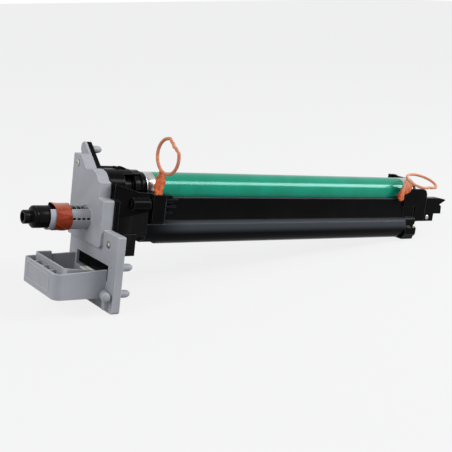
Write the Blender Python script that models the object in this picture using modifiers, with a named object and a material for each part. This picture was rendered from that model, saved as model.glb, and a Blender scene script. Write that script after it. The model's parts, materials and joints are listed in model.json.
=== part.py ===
"""Photoconductor drum unit of an A3 colour copier.

+X runs along the drum from the grey cover at the front to the black frame at the rear, and +Z is up.
The origin is where the drum's axis meets the front face of the cover. Sizes are in metres.
"""

import math

import bmesh
import bpy
from mathutils import Matrix, Vector

for old in list(bpy.data.objects):
    bpy.data.objects.remove(old, do_unlink=True)

MM = 0.001
GAP = 0.3 * MM
RUN_GAP = 0.4 * MM

# Drum: aluminium tube with a green photoconductor coat between bare ends
DRUM_R = 15.0 * MM
DRUM_WALL = 0.9 * MM
DRUM_ROOM = 0.7 * MM
DRUM_X0 = 51.0 * MM
DRUM_X1 = 399.0 * MM
COAT_X0 = 60.3 * MM
COAT_X1 = 386.0 * MM

# Front cover: two levels of plate, ear, window, sleeve and handle pocket
COVER_DEPTH = 11.0 * MM
PLATE_STEP = 3.5 * MM
EAR_STEP = 9.0 * MM
COVER_WALL = 2.0 * MM
COVER_LEFT = 38.0 * MM
COVER_TOP = 25.5 * MM
PLATE_BOTTOM = -104.0 * MM
PLATE_RIGHT = -55.5 * MM
WINDOW = (21.9 * MM, -41.3 * MM, -62.9 * MM, -77.0 * MM)
EAR_CENTRE = (37.3 * MM, 29.6 * MM)
EAR_R = 6.3 * MM
SLANT_TOP = (37.0 * MM, 35.9 * MM)
SLANT_FOOT = (12.3 * MM, 15.5 * MM)

# Toner outlet: sleeve on the cover, pipe inside it and the cap that slides between them
AUGER_Y = 3.2 * MM
AUGER_REACH = 28.0 * MM
SLEEVE_R = 11.7 * MM
SLEEVE_BORE_R = 10.5 * MM
SLEEVE_LENGTH = 39.0 * MM
SLEEVE_SLOT_ANGLE = math.radians(44.0)
SLEEVE_SLIT = 3.6 * MM
SLEEVE_SLIT_PITCH = 4.7 * MM
PIPE_R = 6.4 * MM
PIPE_BORE_R = 5.4 * MM
PIPE_TIP_X = -38.5 * MM
CAP_R = 10.1 * MM
CAP_TIP_R = 5.5 * MM
CAP_FACE_X = -53.0 * MM
CAP_TIP_X = -61.0 * MM
CAP_REAR_X = -20.5 * MM
CAP_TRAVEL = 9.0 * MM
SPRING_WIRE_R = 0.5 * MM
SPRING_PITCH = 4.4 * MM
TAPE_X0 = -34.0 * MM
TAPE_X1 = -19.0 * MM
TAPE_THICK = 0.5 * MM

# Handle pocket
POCKET_LEFT = 26.0 * MM
POCKET_SPLAY = 2.6 * MM
POCKET_RIGHT = -40.5 * MM
POCKET_DEPTH = 45.5 * MM
POCKET_FLOOR = -92.5 * MM
POCKET_RIM_BACK = -66.7 * MM
POCKET_RIM_FRONT = -69.5 * MM
POCKET_INNER_X = -35.5 * MM
POCKET_INNER_RIGHT = -34.0 * MM
POCKET_INNER_WALL = 1.8 * MM

# Front end frame
FRAME_THICK = 4.5 * MM
SHROUD_WALL = 1.6 * MM
SHROUD_OPEN_X0 = 27.0 * MM
SHROUD_X1 = 37.0 * MM
SHROUD_STEP_X1 = 46.0 * MM
ARM_X1 = 52.0 * MM
HOLDER_X1 = 72.0 * MM
LEG_X1 = 35.5 * MM
LEG_BOTTOM = -58.0 * MM

# Waste housing, the long beam
BEAM_X0 = 46.3 * MM
BEAM_X1 = 381.0 * MM
NOTCH_X1 = 61.0 * MM
NOTCH_Z = -46.5 * MM
SHELF_DROP = 3.4 * MM
SHELF_Y1 = 32.0 * MM
SEAL_ROOM = 3.0 * MM
SADDLE_FRONT = 8.7 * MM
SADDLE_REAR = 4.0 * MM
RIB_PITCH = 32.0 * MM
RIB_THICK = 1.6 * MM

# Cleaning: blade on its steel bracket, auger in the trough
BLADE_X0 = 55.5 * MM
BLADE_X1 = 376.5 * MM
BLADE_THICK = 1.8 * MM
BLADE_SCREW_XS = (64.0 * MM, 368.0 * MM)
BLADE_SCREW_Y = 24.0 * MM
BRACKET_THICK = 1.2 * MM
AUGER_R = 4.6 * MM
AUGER_SHAFT_R = 1.8 * MM
AUGER_PITCH = 28.0 * MM

# Charging: roller against the drum, foam roller against it
CHARGE_R = 5.5 * MM
CHARGE_SHAFT_R = 3.0 * MM
CHARGE_ANGLE = math.radians(2.0)
CLEANER_R = 3.5 * MM
CLEANER_SHAFT_R = 1.8 * MM
CLEANER_ANGLE = math.radians(-60.0)
CHARGE_X0 = 57.0 * MM
CHARGE_X1 = 371.0 * MM
SHAFT_X0 = 48.8 * MM
SHAFT_X1 = 378.6 * MM
CARRIAGE_XS = (49.3 * MM, 373.0 * MM)
CARRIAGE_WIDTH = 5.0 * MM
CARRIAGE_Y0 = 16.6 * MM
CARRIAGE_Y1 = 27.8 * MM
CARRIAGE_TRAVEL = 1.2 * MM
HOUSING_Y0 = 17.5 * MM
HOUSING_Y1 = 35.5 * MM
HOUSING_FLOOR = -13.6 * MM
HOUSING_WALL = 1.6 * MM

# Auger drive
GEAR_MODULE = 0.8 * MM
DRIVE_TEETH = 23
AUGER_TEETH = 19
DRIVE_BEARING = math.radians(136.0)
GEAR_X0 = 404.6 * MM
GEAR_WIDTH = 7.0 * MM
GEAR_BACKLASH = 0.35 * MM
GEAR_HELIX = math.radians(14.0)
COUPLING_R = 4.2 * MM
COUPLING_X1 = 428.0 * MM

# Rear end frame and its cover
SHOE_X1 = 398.0 * MM
REAR_PLATE_X0 = 400.4 * MM
REAR_PLATE_X1 = 403.4 * MM
CASE_X1 = 416.0 * MM
CASE_WALL = 1.6 * MM
CHEEK_Y = -21.2 * MM
CHEEK_THICK = 2.5 * MM
REAR_SCREWS = ((419.9 * MM, -26.3 * MM, CHEEK_Y), (394.9 * MM, -35.4 * MM, -26.8 * MM))

# Bearings and screws
PIN_R = 3.6 * MM
PIN_TIP_XS = (26.5 * MM, 22.5 * MM, 22.5 * MM)
PIN_AXES = ((36.0 * MM, 29.0 * MM), (-50.0 * MM, -62.5 * MM), (-50.0 * MM, -86.5 * MM))
COVER_SCREW_AXES = ((28.6 * MM, 17.3 * MM), (-37.8 * MM, -44.7 * MM))
SCREW_R = 1.5 * MM
SCREW_HEAD_R = 3.0 * MM
BUSH_R = 9.5 * MM
JOURNAL_R = 7.0 * MM
SOCKET_R = 3.7 * MM
BEARING_R = 7.8 * MM
BEARING_X0 = 416.6 * MM
BEARING_WIDTH = 4.0 * MM

# Transport tabs
TAB_WIRE_R = 1.45 * MM
TAB_RING_R = 17.0 * MM
REAR_RING_R = 18.2 * MM
TAB_THICK = 1.6 * MM

# Derived places
SHROUD_R = DRUM_R + DRUM_ROOM + SHROUD_WALL
SHOULDER_R = SHROUD_R - 0.7 * MM
SHELF_Z = -DRUM_R - SHELF_DROP
SADDLE_R = DRUM_R + SEAL_ROOM
LIP_Y = -DRUM_R - 1.3 * MM
AUGER_Z = -math.sqrt(AUGER_REACH ** 2 - AUGER_Y ** 2)
AUGER_AXIS = (AUGER_Y, AUGER_Z)
CHARGE_REACH = DRUM_R + CHARGE_R + GAP
CHARGE_AXIS = (CHARGE_REACH * math.cos(CHARGE_ANGLE), CHARGE_REACH * math.sin(CHARGE_ANGLE))
CLEANER_REACH = CHARGE_R + CLEANER_R + GAP
CLEANER_AXIS = (
    CHARGE_AXIS[0] + CLEANER_REACH * math.cos(CLEANER_ANGLE),
    CHARGE_AXIS[1] + CLEANER_REACH * math.sin(CLEANER_ANGLE),
)
DRUM_AXIS = (0.0, 0.0)
DRIVE_REACH = GEAR_MODULE * (DRIVE_TEETH + AUGER_TEETH) / 2
DRIVE_AXIS = (
    AUGER_AXIS[0] + DRIVE_REACH * math.cos(DRIVE_BEARING),
    AUGER_AXIS[1] + DRIVE_REACH * math.sin(DRIVE_BEARING),
)

parts = bpy.data.collections.new("drum_unit")
cutters = bpy.data.collections.new("cutters")
bpy.context.scene.collection.children.link(parts)
bpy.context.scene.collection.children.link(cutters)


# Materials


def material(name, colour, roughness, metallic=0.0):
    mat = bpy.data.materials.new(name)
    mat.use_nodes = True
    shader = mat.node_tree.nodes["Principled BSDF"]
    shader.inputs["Base Color"].default_value = (*colour, 1.0)
    shader.inputs["Roughness"].default_value = roughness
    shader.inputs["Metallic"].default_value = metallic
    mat.diffuse_color = (*colour, 1.0)
    return mat


GREY_ABS = material("grey_abs", (0.31, 0.33, 0.37), 0.45)
BLACK_ABS = material("black_abs", (0.012, 0.012, 0.014), 0.35)
BLACK_GLOSS = material("black_acetal", (0.015, 0.015, 0.017), 0.25)
WHITE_ACETAL = material("white_acetal", (0.75, 0.75, 0.72), 0.4)
ORANGE_PP = material("orange_polypropylene", (0.72, 0.16, 0.05), 0.4)
ORANGE_TAPE = material("orange_tape", (0.55, 0.05, 0.01), 0.3)
ALUMINIUM = material("aluminium", (0.8, 0.8, 0.82), 0.2, 1.0)
GREEN_COAT = material("photoconductor_coat", (0.01, 0.33, 0.2), 0.12)
STEEL = material("zinc_plated_steel", (0.6, 0.6, 0.58), 0.3, 1.0)
SPRING_STEEL = material("spring_steel", (0.45, 0.45, 0.45), 0.3, 1.0)
RUBBER = material("conductive_rubber", (0.02, 0.02, 0.02), 0.6)
FOAM = material("grey_foam", (0.2, 0.2, 0.2), 0.95)
URETHANE = material("urethane", (0.5, 0.33, 0.12), 0.3)
FELT = material("felt", (0.6, 0.6, 0.58), 1.0)
FILM = material("polyester_film", (0.08, 0.08, 0.09), 0.15)


# Building blocks


def add_object(name, mesh):
    obj = bpy.data.objects.new(name, mesh)
    cutters.objects.link(obj)
    obj.hide_render = True
    obj.display_type = "WIRE"
    return obj


def finish(obj, name, mat, sharp_angle=35.0):
    """Turn a built shape into a named part with its material."""
    cutters.objects.unlink(obj)
    parts.objects.link(obj)
    obj.name = name
    obj.data.name = name
    obj.hide_render = False
    obj.display_type = "SOLID"
    obj.data.materials.clear()
    obj.data.materials.append(mat)
    obj.data.shade_smooth()
    obj.data.set_sharp_from_angle(angle=math.radians(sharp_angle))
    return obj


def combine(target, tools, operation):
    for tool in tools:
        modifier = target.modifiers.new(operation.lower(), "BOOLEAN")
        modifier.operation = operation
        modifier.solver = "EXACT"
        modifier.object = tool
    return target


def join(target, *tools):
    return combine(target, tools, "UNION")


def cut(target, *tools):
    return combine(target, tools, "DIFFERENCE")


def keep_within(target, *tools):
    return combine(target, tools, "INTERSECT")


def soften(obj, width, segments=1, angle=40.0):
    modifier = obj.modifiers.new("edges", "BEVEL")
    modifier.width = width
    modifier.segments = segments
    modifier.limit_method = "ANGLE"
    modifier.angle_limit = math.radians(angle)
    modifier.use_clamp_overlap = True
    return obj


def box(x0, x1, y0, y1, z0, z1):
    mesh = bpy.data.meshes.new("box")
    bm = bmesh.new()
    bmesh.ops.create_cube(bm, size=1.0)
    bmesh.ops.scale(bm, vec=(abs(x1 - x0), abs(y1 - y0), abs(z1 - z0)), verts=bm.verts)
    bm.to_mesh(mesh)
    bm.free()
    obj = add_object("box", mesh)
    obj.location = ((x0 + x1) / 2, (y0 + y1) / 2, (z0 + z1) / 2)
    return obj


def rod(start, end, radius, end_radius=None, sides=24):
    start = Vector(start)
    end = Vector(end)
    mesh = bpy.data.meshes.new("rod")
    bm = bmesh.new()
    bmesh.ops.create_cone(
        bm,
        cap_ends=True,
        segments=sides,
        radius1=radius,
        radius2=radius if end_radius is None else end_radius,
        depth=(end - start).length,
    )
    bm.to_mesh(mesh)
    bm.free()
    obj = add_object("rod", mesh)
    obj.location = (start + end) / 2
    obj.rotation_euler = (end - start).to_track_quat("Z", "Y").to_euler()
    return obj


def rod_x(axis, x0, x1, radius, sides=24):
    """Cylinder along X about the line at axis (y, z)."""
    return rod((x0, *axis), (x1, *axis), radius, sides=sides)


def turned(axis, profile, sides=32):
    """Solid of revolution about the X line at axis (y, z), from (x, radius) points in order."""
    turn = sum(
        (b[0] - a[0]) * (b[1] + a[1])
        for a, b in zip(profile, profile[1:] + profile[:1])
    )
    points = profile if turn < 0 else profile[::-1]
    mesh = bpy.data.meshes.new("turned")
    bm = bmesh.new()
    ring = [bm.verts.new((radius, 0.0, x)) for x, radius in points]
    for first, second in zip(ring, ring[1:]):
        bm.edges.new((first, second))
    if all(radius > 0 for x, radius in (points[0], points[-1])):
        bm.edges.new((ring[-1], ring[0]))
    bm.to_mesh(mesh)
    bm.free()
    obj = add_object("turned", mesh)
    obj.location = (0.0, *axis)
    obj.rotation_euler = (0.0, math.pi / 2, 0.0)
    screw = obj.modifiers.new("turn", "SCREW")
    screw.steps = sides
    screw.render_steps = sides
    screw.use_merge_vertices = True
    screw.merge_threshold = 0.00001
    return obj


def to_mesh(curve_object):
    """Replace a curve by its closed mesh in the same place."""
    bpy.context.view_layer.update()
    evaluated = curve_object.evaluated_get(bpy.context.evaluated_depsgraph_get())
    mesh = bpy.data.meshes.new_from_object(evaluated)
    bm = bmesh.new()
    bm.from_mesh(mesh)
    bmesh.ops.remove_doubles(bm, verts=bm.verts, dist=0.000001)
    bmesh.ops.recalc_face_normals(bm, faces=bm.faces)
    if bm.calc_volume(signed=True) < 0:
        bmesh.ops.reverse_faces(bm, faces=bm.faces)
    bm.to_mesh(mesh)
    bm.free()
    solid = add_object(curve_object.name, mesh)
    solid.matrix_world = curve_object.matrix_world
    bpy.data.objects.remove(curve_object, do_unlink=True)
    return solid


def baked(obj):
    """Apply an object's modifiers."""
    bpy.context.view_layer.update()
    evaluated = obj.evaluated_get(bpy.context.evaluated_depsgraph_get())
    mesh = bpy.data.meshes.new_from_object(evaluated)
    obj.modifiers.clear()
    obj.data = mesh
    return obj


PRISM_TURNS = {
    "X": (math.pi / 2, 0.0, math.pi / 2),
    "Y": (math.pi / 2, 0.0, 0.0),
    "Z": (0.0, 0.0, 0.0),
}


def prism(outline, low, high, along="X"):
    """Extrude an outline: (y, z) points along X, (x, z) points along Y or (x, y) points along Z."""
    curve = bpy.data.curves.new("prism", "CURVE")
    curve.dimensions = "2D"
    curve.fill_mode = "BOTH"
    curve.extrude = (high - low) / 2
    spline = curve.splines.new("POLY")
    spline.points.add(len(outline) - 1)
    for point, (u, v) in zip(spline.points, outline):
        point.co = (u, v, 0.0, 1.0)
    spline.use_cyclic_u = True
    obj = bpy.data.objects.new("prism", curve)
    cutters.objects.link(obj)
    middle = (low + high) / 2
    obj.rotation_euler = PRISM_TURNS[along]
    obj.location = {"X": (middle, 0, 0), "Y": (0, middle, 0), "Z": (0, 0, middle)}[along]
    return to_mesh(obj)


def wire(points, radius, closed=False, resolution=1):
    curve = bpy.data.curves.new("wire", "CURVE")
    curve.dimensions = "3D"
    curve.bevel_depth = radius
    curve.bevel_resolution = resolution
    curve.use_fill_caps = not closed
    spline = curve.splines.new("POLY")
    spline.points.add(len(points) - 1)
    for point, place in zip(spline.points, points):
        point.co = (*place, 1.0)
    spline.use_cyclic_u = closed
    obj = bpy.data.objects.new("wire", curve)
    cutters.objects.link(obj)
    return to_mesh(obj)


def helix(start, end, radius, turns, per_turn=10):
    """Points wound on a cylinder between two places."""
    start = Vector(start)
    end = Vector(end)
    lay = (end - start).to_track_quat("Z", "Y")
    count = round(turns * per_turn)
    points = []
    for i in range(count + 1):
        angle = 2 * math.pi * i / per_turn
        around = Vector((radius * math.cos(angle), radius * math.sin(angle), 0.0))
        points.append(start.lerp(end, i / count) + lay @ around)
    return points


def arc(centre, radius, start, end, steps):
    """Points on an arc, angles in degrees."""
    points = []
    for i in range(steps + 1):
        angle = math.radians(start + (end - start) * i / steps)
        points.append((centre[0] + radius * math.cos(angle), centre[1] + radius * math.sin(angle)))
    return points


def rounded(corners, steps=3):
    """Outline from (u, v, radius) corners, each rounded by an arc of its radius."""
    outline = []
    count = len(corners)
    for i, (u, v, radius) in enumerate(corners):
        here = Vector((u, v))
        if radius <= 0:
            outline.append((u, v))
            continue
        before = (Vector(corners[i - 1][:2]) - here).normalized()
        after = (Vector(corners[(i + 1) % count][:2]) - here).normalized()
        half = before.angle(after) / 2
        centre = here + (before + after).normalized() * (radius / math.sin(half))
        tangent = here + before * (radius / math.tan(half))
        last = here + after * (radius / math.tan(half))
        start = tangent - centre
        sweep = start.angle_signed(last - centre)
        for k in range(steps + 1):
            turn = Matrix.Rotation(-sweep * k / steps, 2)
            outline.append(tuple(centre + turn @ start))
    return outline


def plain(points):
    """Outline points as corners that stay sharp."""
    return [(u, v, 0.0) for u, v in points]


def inset(corners, distance):
    """Corners (u, v, radius) moved inwards, or outwards by a negative distance, with an even wall."""
    places = [Vector(corner[:2]) for corner in corners]
    count = len(places)
    area = sum(places[i - 1].cross(places[i]) for i in range(count))
    side = distance * math.copysign(1.0, area)
    moved = []
    for i, here in enumerate(places):
        first = (here - places[i - 1]).normalized()
        second = (places[(i + 1) % count] - here).normalized()
        normal = Vector((-first.y - second.y, first.x + second.x)).normalized()
        reach = side / max(0.3, normal.dot(Vector((-first.y, first.x))))
        radius = corners[i][2]
        if radius > 0:
            convex = first.cross(second) * area > 0
            radius = max(0.0, radius - distance) if convex else radius + distance
        moved.append((*(here + normal * reach), radius))
    return moved


def scaled(values):
    return [tuple(v * MM for v in row) for row in values]


# Front cover


def shoulder(radius, start, end, steps=8):
    return arc(DRUM_AXIS, radius, start, end, steps)


def face_corners():
    """Raised level of the cover: slanted corner, round shoulder over the drum, two steps, square foot."""
    steps = scaled([
        (-18.5, 7.2, 0.8),
        (-18.8, -6.9, 1.2),
        (-28.2, -7.6, 1.6),
        (-28.2, -50.3, 4.0),
        (38.0, -50.3, 1.0),
        (38.0, 25.5, 1.2),
    ])
    slant = [(24.3 * MM, COVER_TOP), SLANT_FOOT]
    return steps + plain(slant + shoulder(SHOULDER_R, 60.0, 150.0))


def plate_outline():
    """Lower level of the cover, wider on the right below the raised face."""
    left = COVER_LEFT
    right = PLATE_RIGHT
    foot = PLATE_BOTTOM
    return rounded([
        (left, -40.0 * MM, 0.0),
        (-24.0 * MM, -40.0 * MM, 0.0),
        (-24.0 * MM, -34.0 * MM, 0.0),
        (right, -34.0 * MM, 1.6 * MM),
        (right, foot, 3.0 * MM),
        (left, foot, 3.0 * MM),
    ])


def ear_outline():
    """Ear at the top: round head with the slanted edge cut across it."""
    head = arc(EAR_CENTRE, EAR_R, -70.0, 88.0, 9)
    return head + [SLANT_TOP, SLANT_FOOT, (20.0 * MM, 0.0), (COVER_LEFT - MM, 0.0)]


def locating_pin(axis, tip_x):
    """Pin with a bullet nose."""
    nose_x = tip_x - 5.2 * MM
    nose = [
        (nose_x + 5.2 * MM * math.sin(turn), PIN_R * math.cos(turn))
        for turn in (0.0, 0.5, 1.0)
    ]
    root_x = EAR_STEP + 0.5 * MM
    return turned(axis, [(root_x, 0.0), (root_x, PIN_R), *nose, (tip_x, 0.0)], 12)


def handle_pocket():
    """Cup for the fingers: rounded box on the plate with an inner wall and ribs behind its front."""
    left = POCKET_LEFT
    splay = POCKET_LEFT + POCKET_SPLAY
    right = POCKET_RIGHT
    front = -POCKET_DEPTH
    back = PLATE_STEP + 1.0 * MM
    wall = COVER_WALL
    plan = [(back, left, 0), (front, splay, 3.0 * MM), (front, right, 6.5 * MM), (back, right, 0)]
    shell = soften(prism(rounded(plan, 4), POCKET_FLOOR, -60 * MM, "Z"), 2.8 * MM, 2, 50)
    hollow_plan = [
        (back - 0.5 * MM, left - wall, 0),
        (front + wall, splay - wall, 1.5 * MM),
        (front + wall, right + wall, 5.0 * MM),
        (back - 0.5 * MM, right + wall, 0),
    ]
    hollow = prism(rounded(hollow_plan), POCKET_FLOOR + wall, -50 * MM, "Z")
    droop = POCKET_RIM_FRONT - POCKET_RIM_BACK
    above_rim = prism([
        (back + 0.1 * MM, POCKET_RIM_BACK),
        (back + 0.1 * MM, -40 * MM),
        (2 * front, -40 * MM),
        (2 * front, POCKET_RIM_BACK + 2 * droop),
    ], 2 * right, 2 * left, "Y")
    cut(shell, above_rim, hollow)

    inner = POCKET_INNER_X
    side = POCKET_INNER_RIGHT
    thin = POCKET_INNER_WALL
    bend = rounded([
        (inner, left - 0.5 * MM, 0),
        (inner, side, 4 * MM),
        (PLATE_STEP + 0.5 * MM, side, 0),
        (PLATE_STEP + 0.5 * MM, side + thin, 0),
        (inner + thin, side + thin, 2.5 * MM),
        (inner + thin, left - 0.5 * MM, 0),
    ])
    inner_wall = prism(bend, POCKET_FLOOR + 0.5 * MM, -65.6 * MM, "Z")
    slope = prism([
        (inner, -65.6 * MM),
        (PLATE_STEP + 1 * MM, -70.0 * MM),
        (PLATE_STEP + 1 * MM, -60 * MM),
        (inner, -60 * MM),
    ], 2 * right, 2 * left, "Y")
    cut(inner_wall, slope)
    left_rim = box(inner + 0.4 * MM, -21 * MM, left - wall, left + 0.8 * MM, POCKET_FLOOR + 5 * MM, -65.2 * MM)
    join(shell, inner_wall, left_rim)
    for y in (12.0 * MM, -4.0 * MM, -20.0 * MM):
        rib = box(front + 1 * MM, inner + 0.5 * MM, y, y + 1.2 * MM, POCKET_FLOOR + 1 * MM, -72 * MM)
        join(shell, rib)
    return shell


def sleeve():
    tube = rod_x(AUGER_AXIS, -SLEEVE_LENGTH, 1.0 * MM, SLEEVE_R, 28)
    root = turned(AUGER_AXIS, [(-1.0 * MM, 0), (-1.0 * MM, SLEEVE_R), (0.6 * MM, SLEEVE_R + 1.2 * MM), (0.6 * MM, 0)], 28)
    return join(tube, root)


def front_cover():
    body = prism(rounded(face_corners()), 0.0, COVER_DEPTH)
    soften(body, 0.6 * MM, 1, 60)
    hollow = prism(rounded(inset(face_corners(), COVER_WALL)), COVER_WALL, COVER_DEPTH + 1 * MM)
    cut(body, hollow)
    plate = prism(plate_outline(), PLATE_STEP, COVER_DEPTH)
    soften(plate, 0.6 * MM, 1, 60)
    upper_hollow = prism(rounded(inset(face_corners(), COVER_WALL)), PLATE_STEP - 1 * MM, COVER_DEPTH + 1 * MM)
    cut(plate, upper_hollow)
    ear = prism(ear_outline(), EAR_STEP, COVER_DEPTH)
    cut(ear, rod_x((EAR_CENTRE[0] - 0.6 * MM, EAR_CENTRE[1] + 0.8 * MM), 0, 20 * MM, 0.9 * MM, 10))
    join(body, plate, ear)

    left, right, top, sill = WINDOW
    wall = COVER_WALL
    skin = PLATE_STEP + wall
    deep = COVER_DEPTH + 1 * MM
    inner_left = COVER_LEFT - wall
    inner_right = PLATE_RIGHT + wall
    foot = PLATE_BOTTOM + wall
    bays = [
        (inner_left, right + wall, top + wall, -52.3 * MM),
        (right - wall, inner_right, top + wall, -36.0 * MM),
        (right - wall, inner_right, foot, top - wall),
        (inner_left, 12.0 * MM, foot, sill - wall),
        (10.4 * MM, -15.0 * MM, foot, sill - wall),
        (-16.6 * MM, right - 0.2 * MM, foot, sill - wall),
        (inner_left, left + wall, sill - 0.4 * MM, top + 0.4 * MM),
    ]
    for y0, y1, z0, z1 in bays:
        cut(body, box(skin, deep, y0, y1, z0, z1))

    for axis, x in zip(COVER_SCREW_AXES, (0.0, PLATE_STEP)):
        join(body, rod_x(axis, x + 1.0 * MM, COVER_DEPTH, SCREW_HEAD_R + 0.8 * MM, 12))
    for axis, tip_x in zip(PIN_AXES, PIN_TIP_XS):
        join(body, locating_pin(axis, tip_x))
    for axis in PIN_AXES[1:]:
        join(body, rod_x(axis, skin - 0.5 * MM, COVER_DEPTH, PIN_R + 1.0 * MM, 12))
    for axis, x in zip(COVER_SCREW_AXES, (0.0, PLATE_STEP)):
        cut(body, rod_x(axis, x - 1 * MM, x + 0.8 * MM, SCREW_HEAD_R + 0.5 * MM, 14))
        cut(body, rod_x(axis, 0, deep, SCREW_R + GAP, 10))
    cut(body, rod_x((-46.8 * MM, -63.4 * MM), 0, deep, 1.0 * MM, 10))

    join(body, handle_pocket(), sleeve())
    cut(body, box(PLATE_STEP - 0.2 * MM, deep, left, right, sill, top))
    knuckle_x = PLATE_STEP - 3.0 * MM
    knuckle_z = -88.0 * MM
    knuckle = rod((knuckle_x, -39.4 * MM, knuckle_z), (knuckle_x, -50.0 * MM, knuckle_z), 4.0 * MM, sides=14)
    web = box(knuckle_x - 2.0 * MM, PLATE_STEP + 1 * MM, -49.2 * MM, -44.5 * MM, PLATE_BOTTOM + 3 * MM, knuckle_z)
    join(body, knuckle, web)

    port_half = SLEEVE_R * math.sin(SLEEVE_SLOT_ANGLE)
    cut(
        body,
        rod_x(AUGER_AXIS, -SLEEVE_LENGTH - 1 * MM, 0.0, SLEEVE_BORE_R, 28),
        rod_x(AUGER_AXIS, -1 * MM, deep, PIPE_R + GAP, 24),
        box(-SLEEVE_LENGTH - 1 * MM, -1.0 * MM, AUGER_Y - port_half, AUGER_Y + port_half,
            AUGER_Z + 6 * MM, AUGER_Z + SLEEVE_R + 1 * MM),
        box(-35.0 * MM, -26.0 * MM, AUGER_Y - 4 * MM, AUGER_Y + 4 * MM,
            AUGER_Z - SLEEVE_R - 1 * MM, AUGER_Z - 6 * MM),
    )
    for i in range(4):
        slit_x = -1.1 * MM - i * SLEEVE_SLIT_PITCH
        slit = box(slit_x - SLEEVE_SLIT, slit_x, AUGER_Y - SLEEVE_R - 1 * MM, AUGER_Y - 6 * MM,
                   AUGER_Z - 1.0 * MM, AUGER_Z + 1.0 * MM)
        cut(body, slit)
    return finish(body, "front_cover", GREY_ABS)


def sill_bar():
    left, right, top, sill = WINDOW
    end = POCKET_INNER_RIGHT + POCKET_INNER_WALL + GAP
    bar = box(-1.0 * MM, COVER_DEPTH, 5.0 * MM, end, sill + GAP, sill + 2.0 * MM)
    soften(bar, 0.5 * MM)
    groove = box(3.0 * MM, 5.0 * MM, 4.0 * MM, end + 1.0 * MM, sill + 1.4 * MM, sill + 3 * MM)
    cut(bar, groove)
    return finish(bar, "sill_bar", WHITE_ACETAL)


def pan_screw(axis, head_x, length, head_height=1.8 * MM):
    """Cross-head screw along X, its head facing -X."""
    head = turned(axis, [
        (head_x, 0.0),
        (head_x, SCREW_HEAD_R * 0.6),
        (head_x + head_height * 0.6, SCREW_HEAD_R),
        (head_x + head_height, SCREW_HEAD_R),
        (head_x + head_height, SCREW_R),
        (head_x + head_height + length, SCREW_R),
        (head_x + head_height + length, 0.0),
    ], 14)
    y, z = axis
    arm = 1.5 * MM
    slim = 0.35 * MM
    across = box(head_x - 1 * MM, head_x + 1.0 * MM, y - arm, y + arm, z - slim, z + slim)
    upright = box(head_x - 1 * MM, head_x + 1.0 * MM, y - slim, y + slim, z - arm, z + arm)
    return cut(head, join(across, upright))


def cover_screw(name, axis, face_x):
    return finish(pan_screw(axis, face_x - 1.3 * MM, 9.0 * MM), name, STEEL)


def outlet_cap():
    """Spring-loaded shutter: cup that slides on the outlet pipe, with a hollow nose."""
    bore = PIPE_R + RUN_GAP
    inner_face = PIPE_TIP_X - CAP_TRAVEL - 0.8 * MM
    cap = turned(AUGER_AXIS, [
        (CAP_TIP_X + 6 * MM, 0.0),
        (CAP_TIP_X + 6 * MM, 4.0 * MM),
        (CAP_TIP_X, 4.0 * MM),
        (CAP_TIP_X, CAP_TIP_R - 0.4 * MM),
        (CAP_TIP_X + 0.4 * MM, CAP_TIP_R),
        (CAP_FACE_X, CAP_TIP_R),
        (CAP_FACE_X, CAP_R - 1.2 * MM),
        (CAP_FACE_X + 1.2 * MM, CAP_R),
        (CAP_FACE_X + 3.4 * MM, CAP_R),
        (CAP_FACE_X + 3.4 * MM, CAP_R - 0.5 * MM),
        (CAP_FACE_X + 4.4 * MM, CAP_R - 0.5 * MM),
        (CAP_FACE_X + 4.4 * MM, CAP_R),
        (CAP_REAR_X, CAP_R),
        (CAP_REAR_X, bore),
        (inner_face, bore),
        (inner_face, 0.0),
    ], 28)
    window = box(-43.5 * MM, -36.0 * MM, AUGER_Y - 3.5 * MM, AUGER_Y + 3.5 * MM,
                 AUGER_Z - CAP_R - 1 * MM, AUGER_Z - 5 * MM)
    key = box(-30.0 * MM, CAP_REAR_X, AUGER_Y - 2.0 * MM, AUGER_Y + 2.0 * MM,
              AUGER_Z + CAP_R - 1.0 * MM, AUGER_Z + SLEEVE_R - 0.2 * MM)
    cut(cap, window)
    join(cap, key)
    return finish(cap, "outlet_cap", BLACK_GLOSS)


def outlet_spring():
    """Coil between the cap and the cover's face."""
    start = (CAP_REAR_X + SPRING_WIRE_R + GAP, *AUGER_AXIS)
    end = (-SPRING_WIRE_R - GAP, *AUGER_AXIS)
    turns = (end[0] - start[0]) / SPRING_PITCH
    return finish(wire(helix(start, end, 8.5 * MM, turns, 10), SPRING_WIRE_R, resolution=0), "outlet_spring", SPRING_STEEL)


def outlet_tape():
    inner = SLEEVE_R + GAP
    outer = inner + TAPE_THICK
    tape = turned(AUGER_AXIS, [(TAPE_X0, inner), (TAPE_X0, outer), (TAPE_X1, outer), (TAPE_X1, inner)], 28)
    return finish(tape, "outlet_tape", ORANGE_TAPE)


def waste_pipe():
    pipe = turned(AUGER_AXIS, [
        (PIPE_TIP_X, 0.0),
        (PIPE_TIP_X, PIPE_R - 0.5 * MM),
        (PIPE_TIP_X + 0.5 * MM, PIPE_R),
        (BEAM_X0 - GAP, PIPE_R),
        (BEAM_X0 - GAP, PIPE_BORE_R),
        (PIPE_TIP_X + 1.5 * MM, PIPE_BORE_R),
        (PIPE_TIP_X + 1.5 * MM, 0.0),
    ], 24)
    port = box(-34.5 * MM, -27.0 * MM, AUGER_Y - 3.5 * MM, AUGER_Y + 3.5 * MM,
               AUGER_Z - PIPE_R - 1 * MM, AUGER_Z - 2 * MM)
    return finish(cut(pipe, port), "waste_pipe", BLACK_ABS)


# Front end frame


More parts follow.
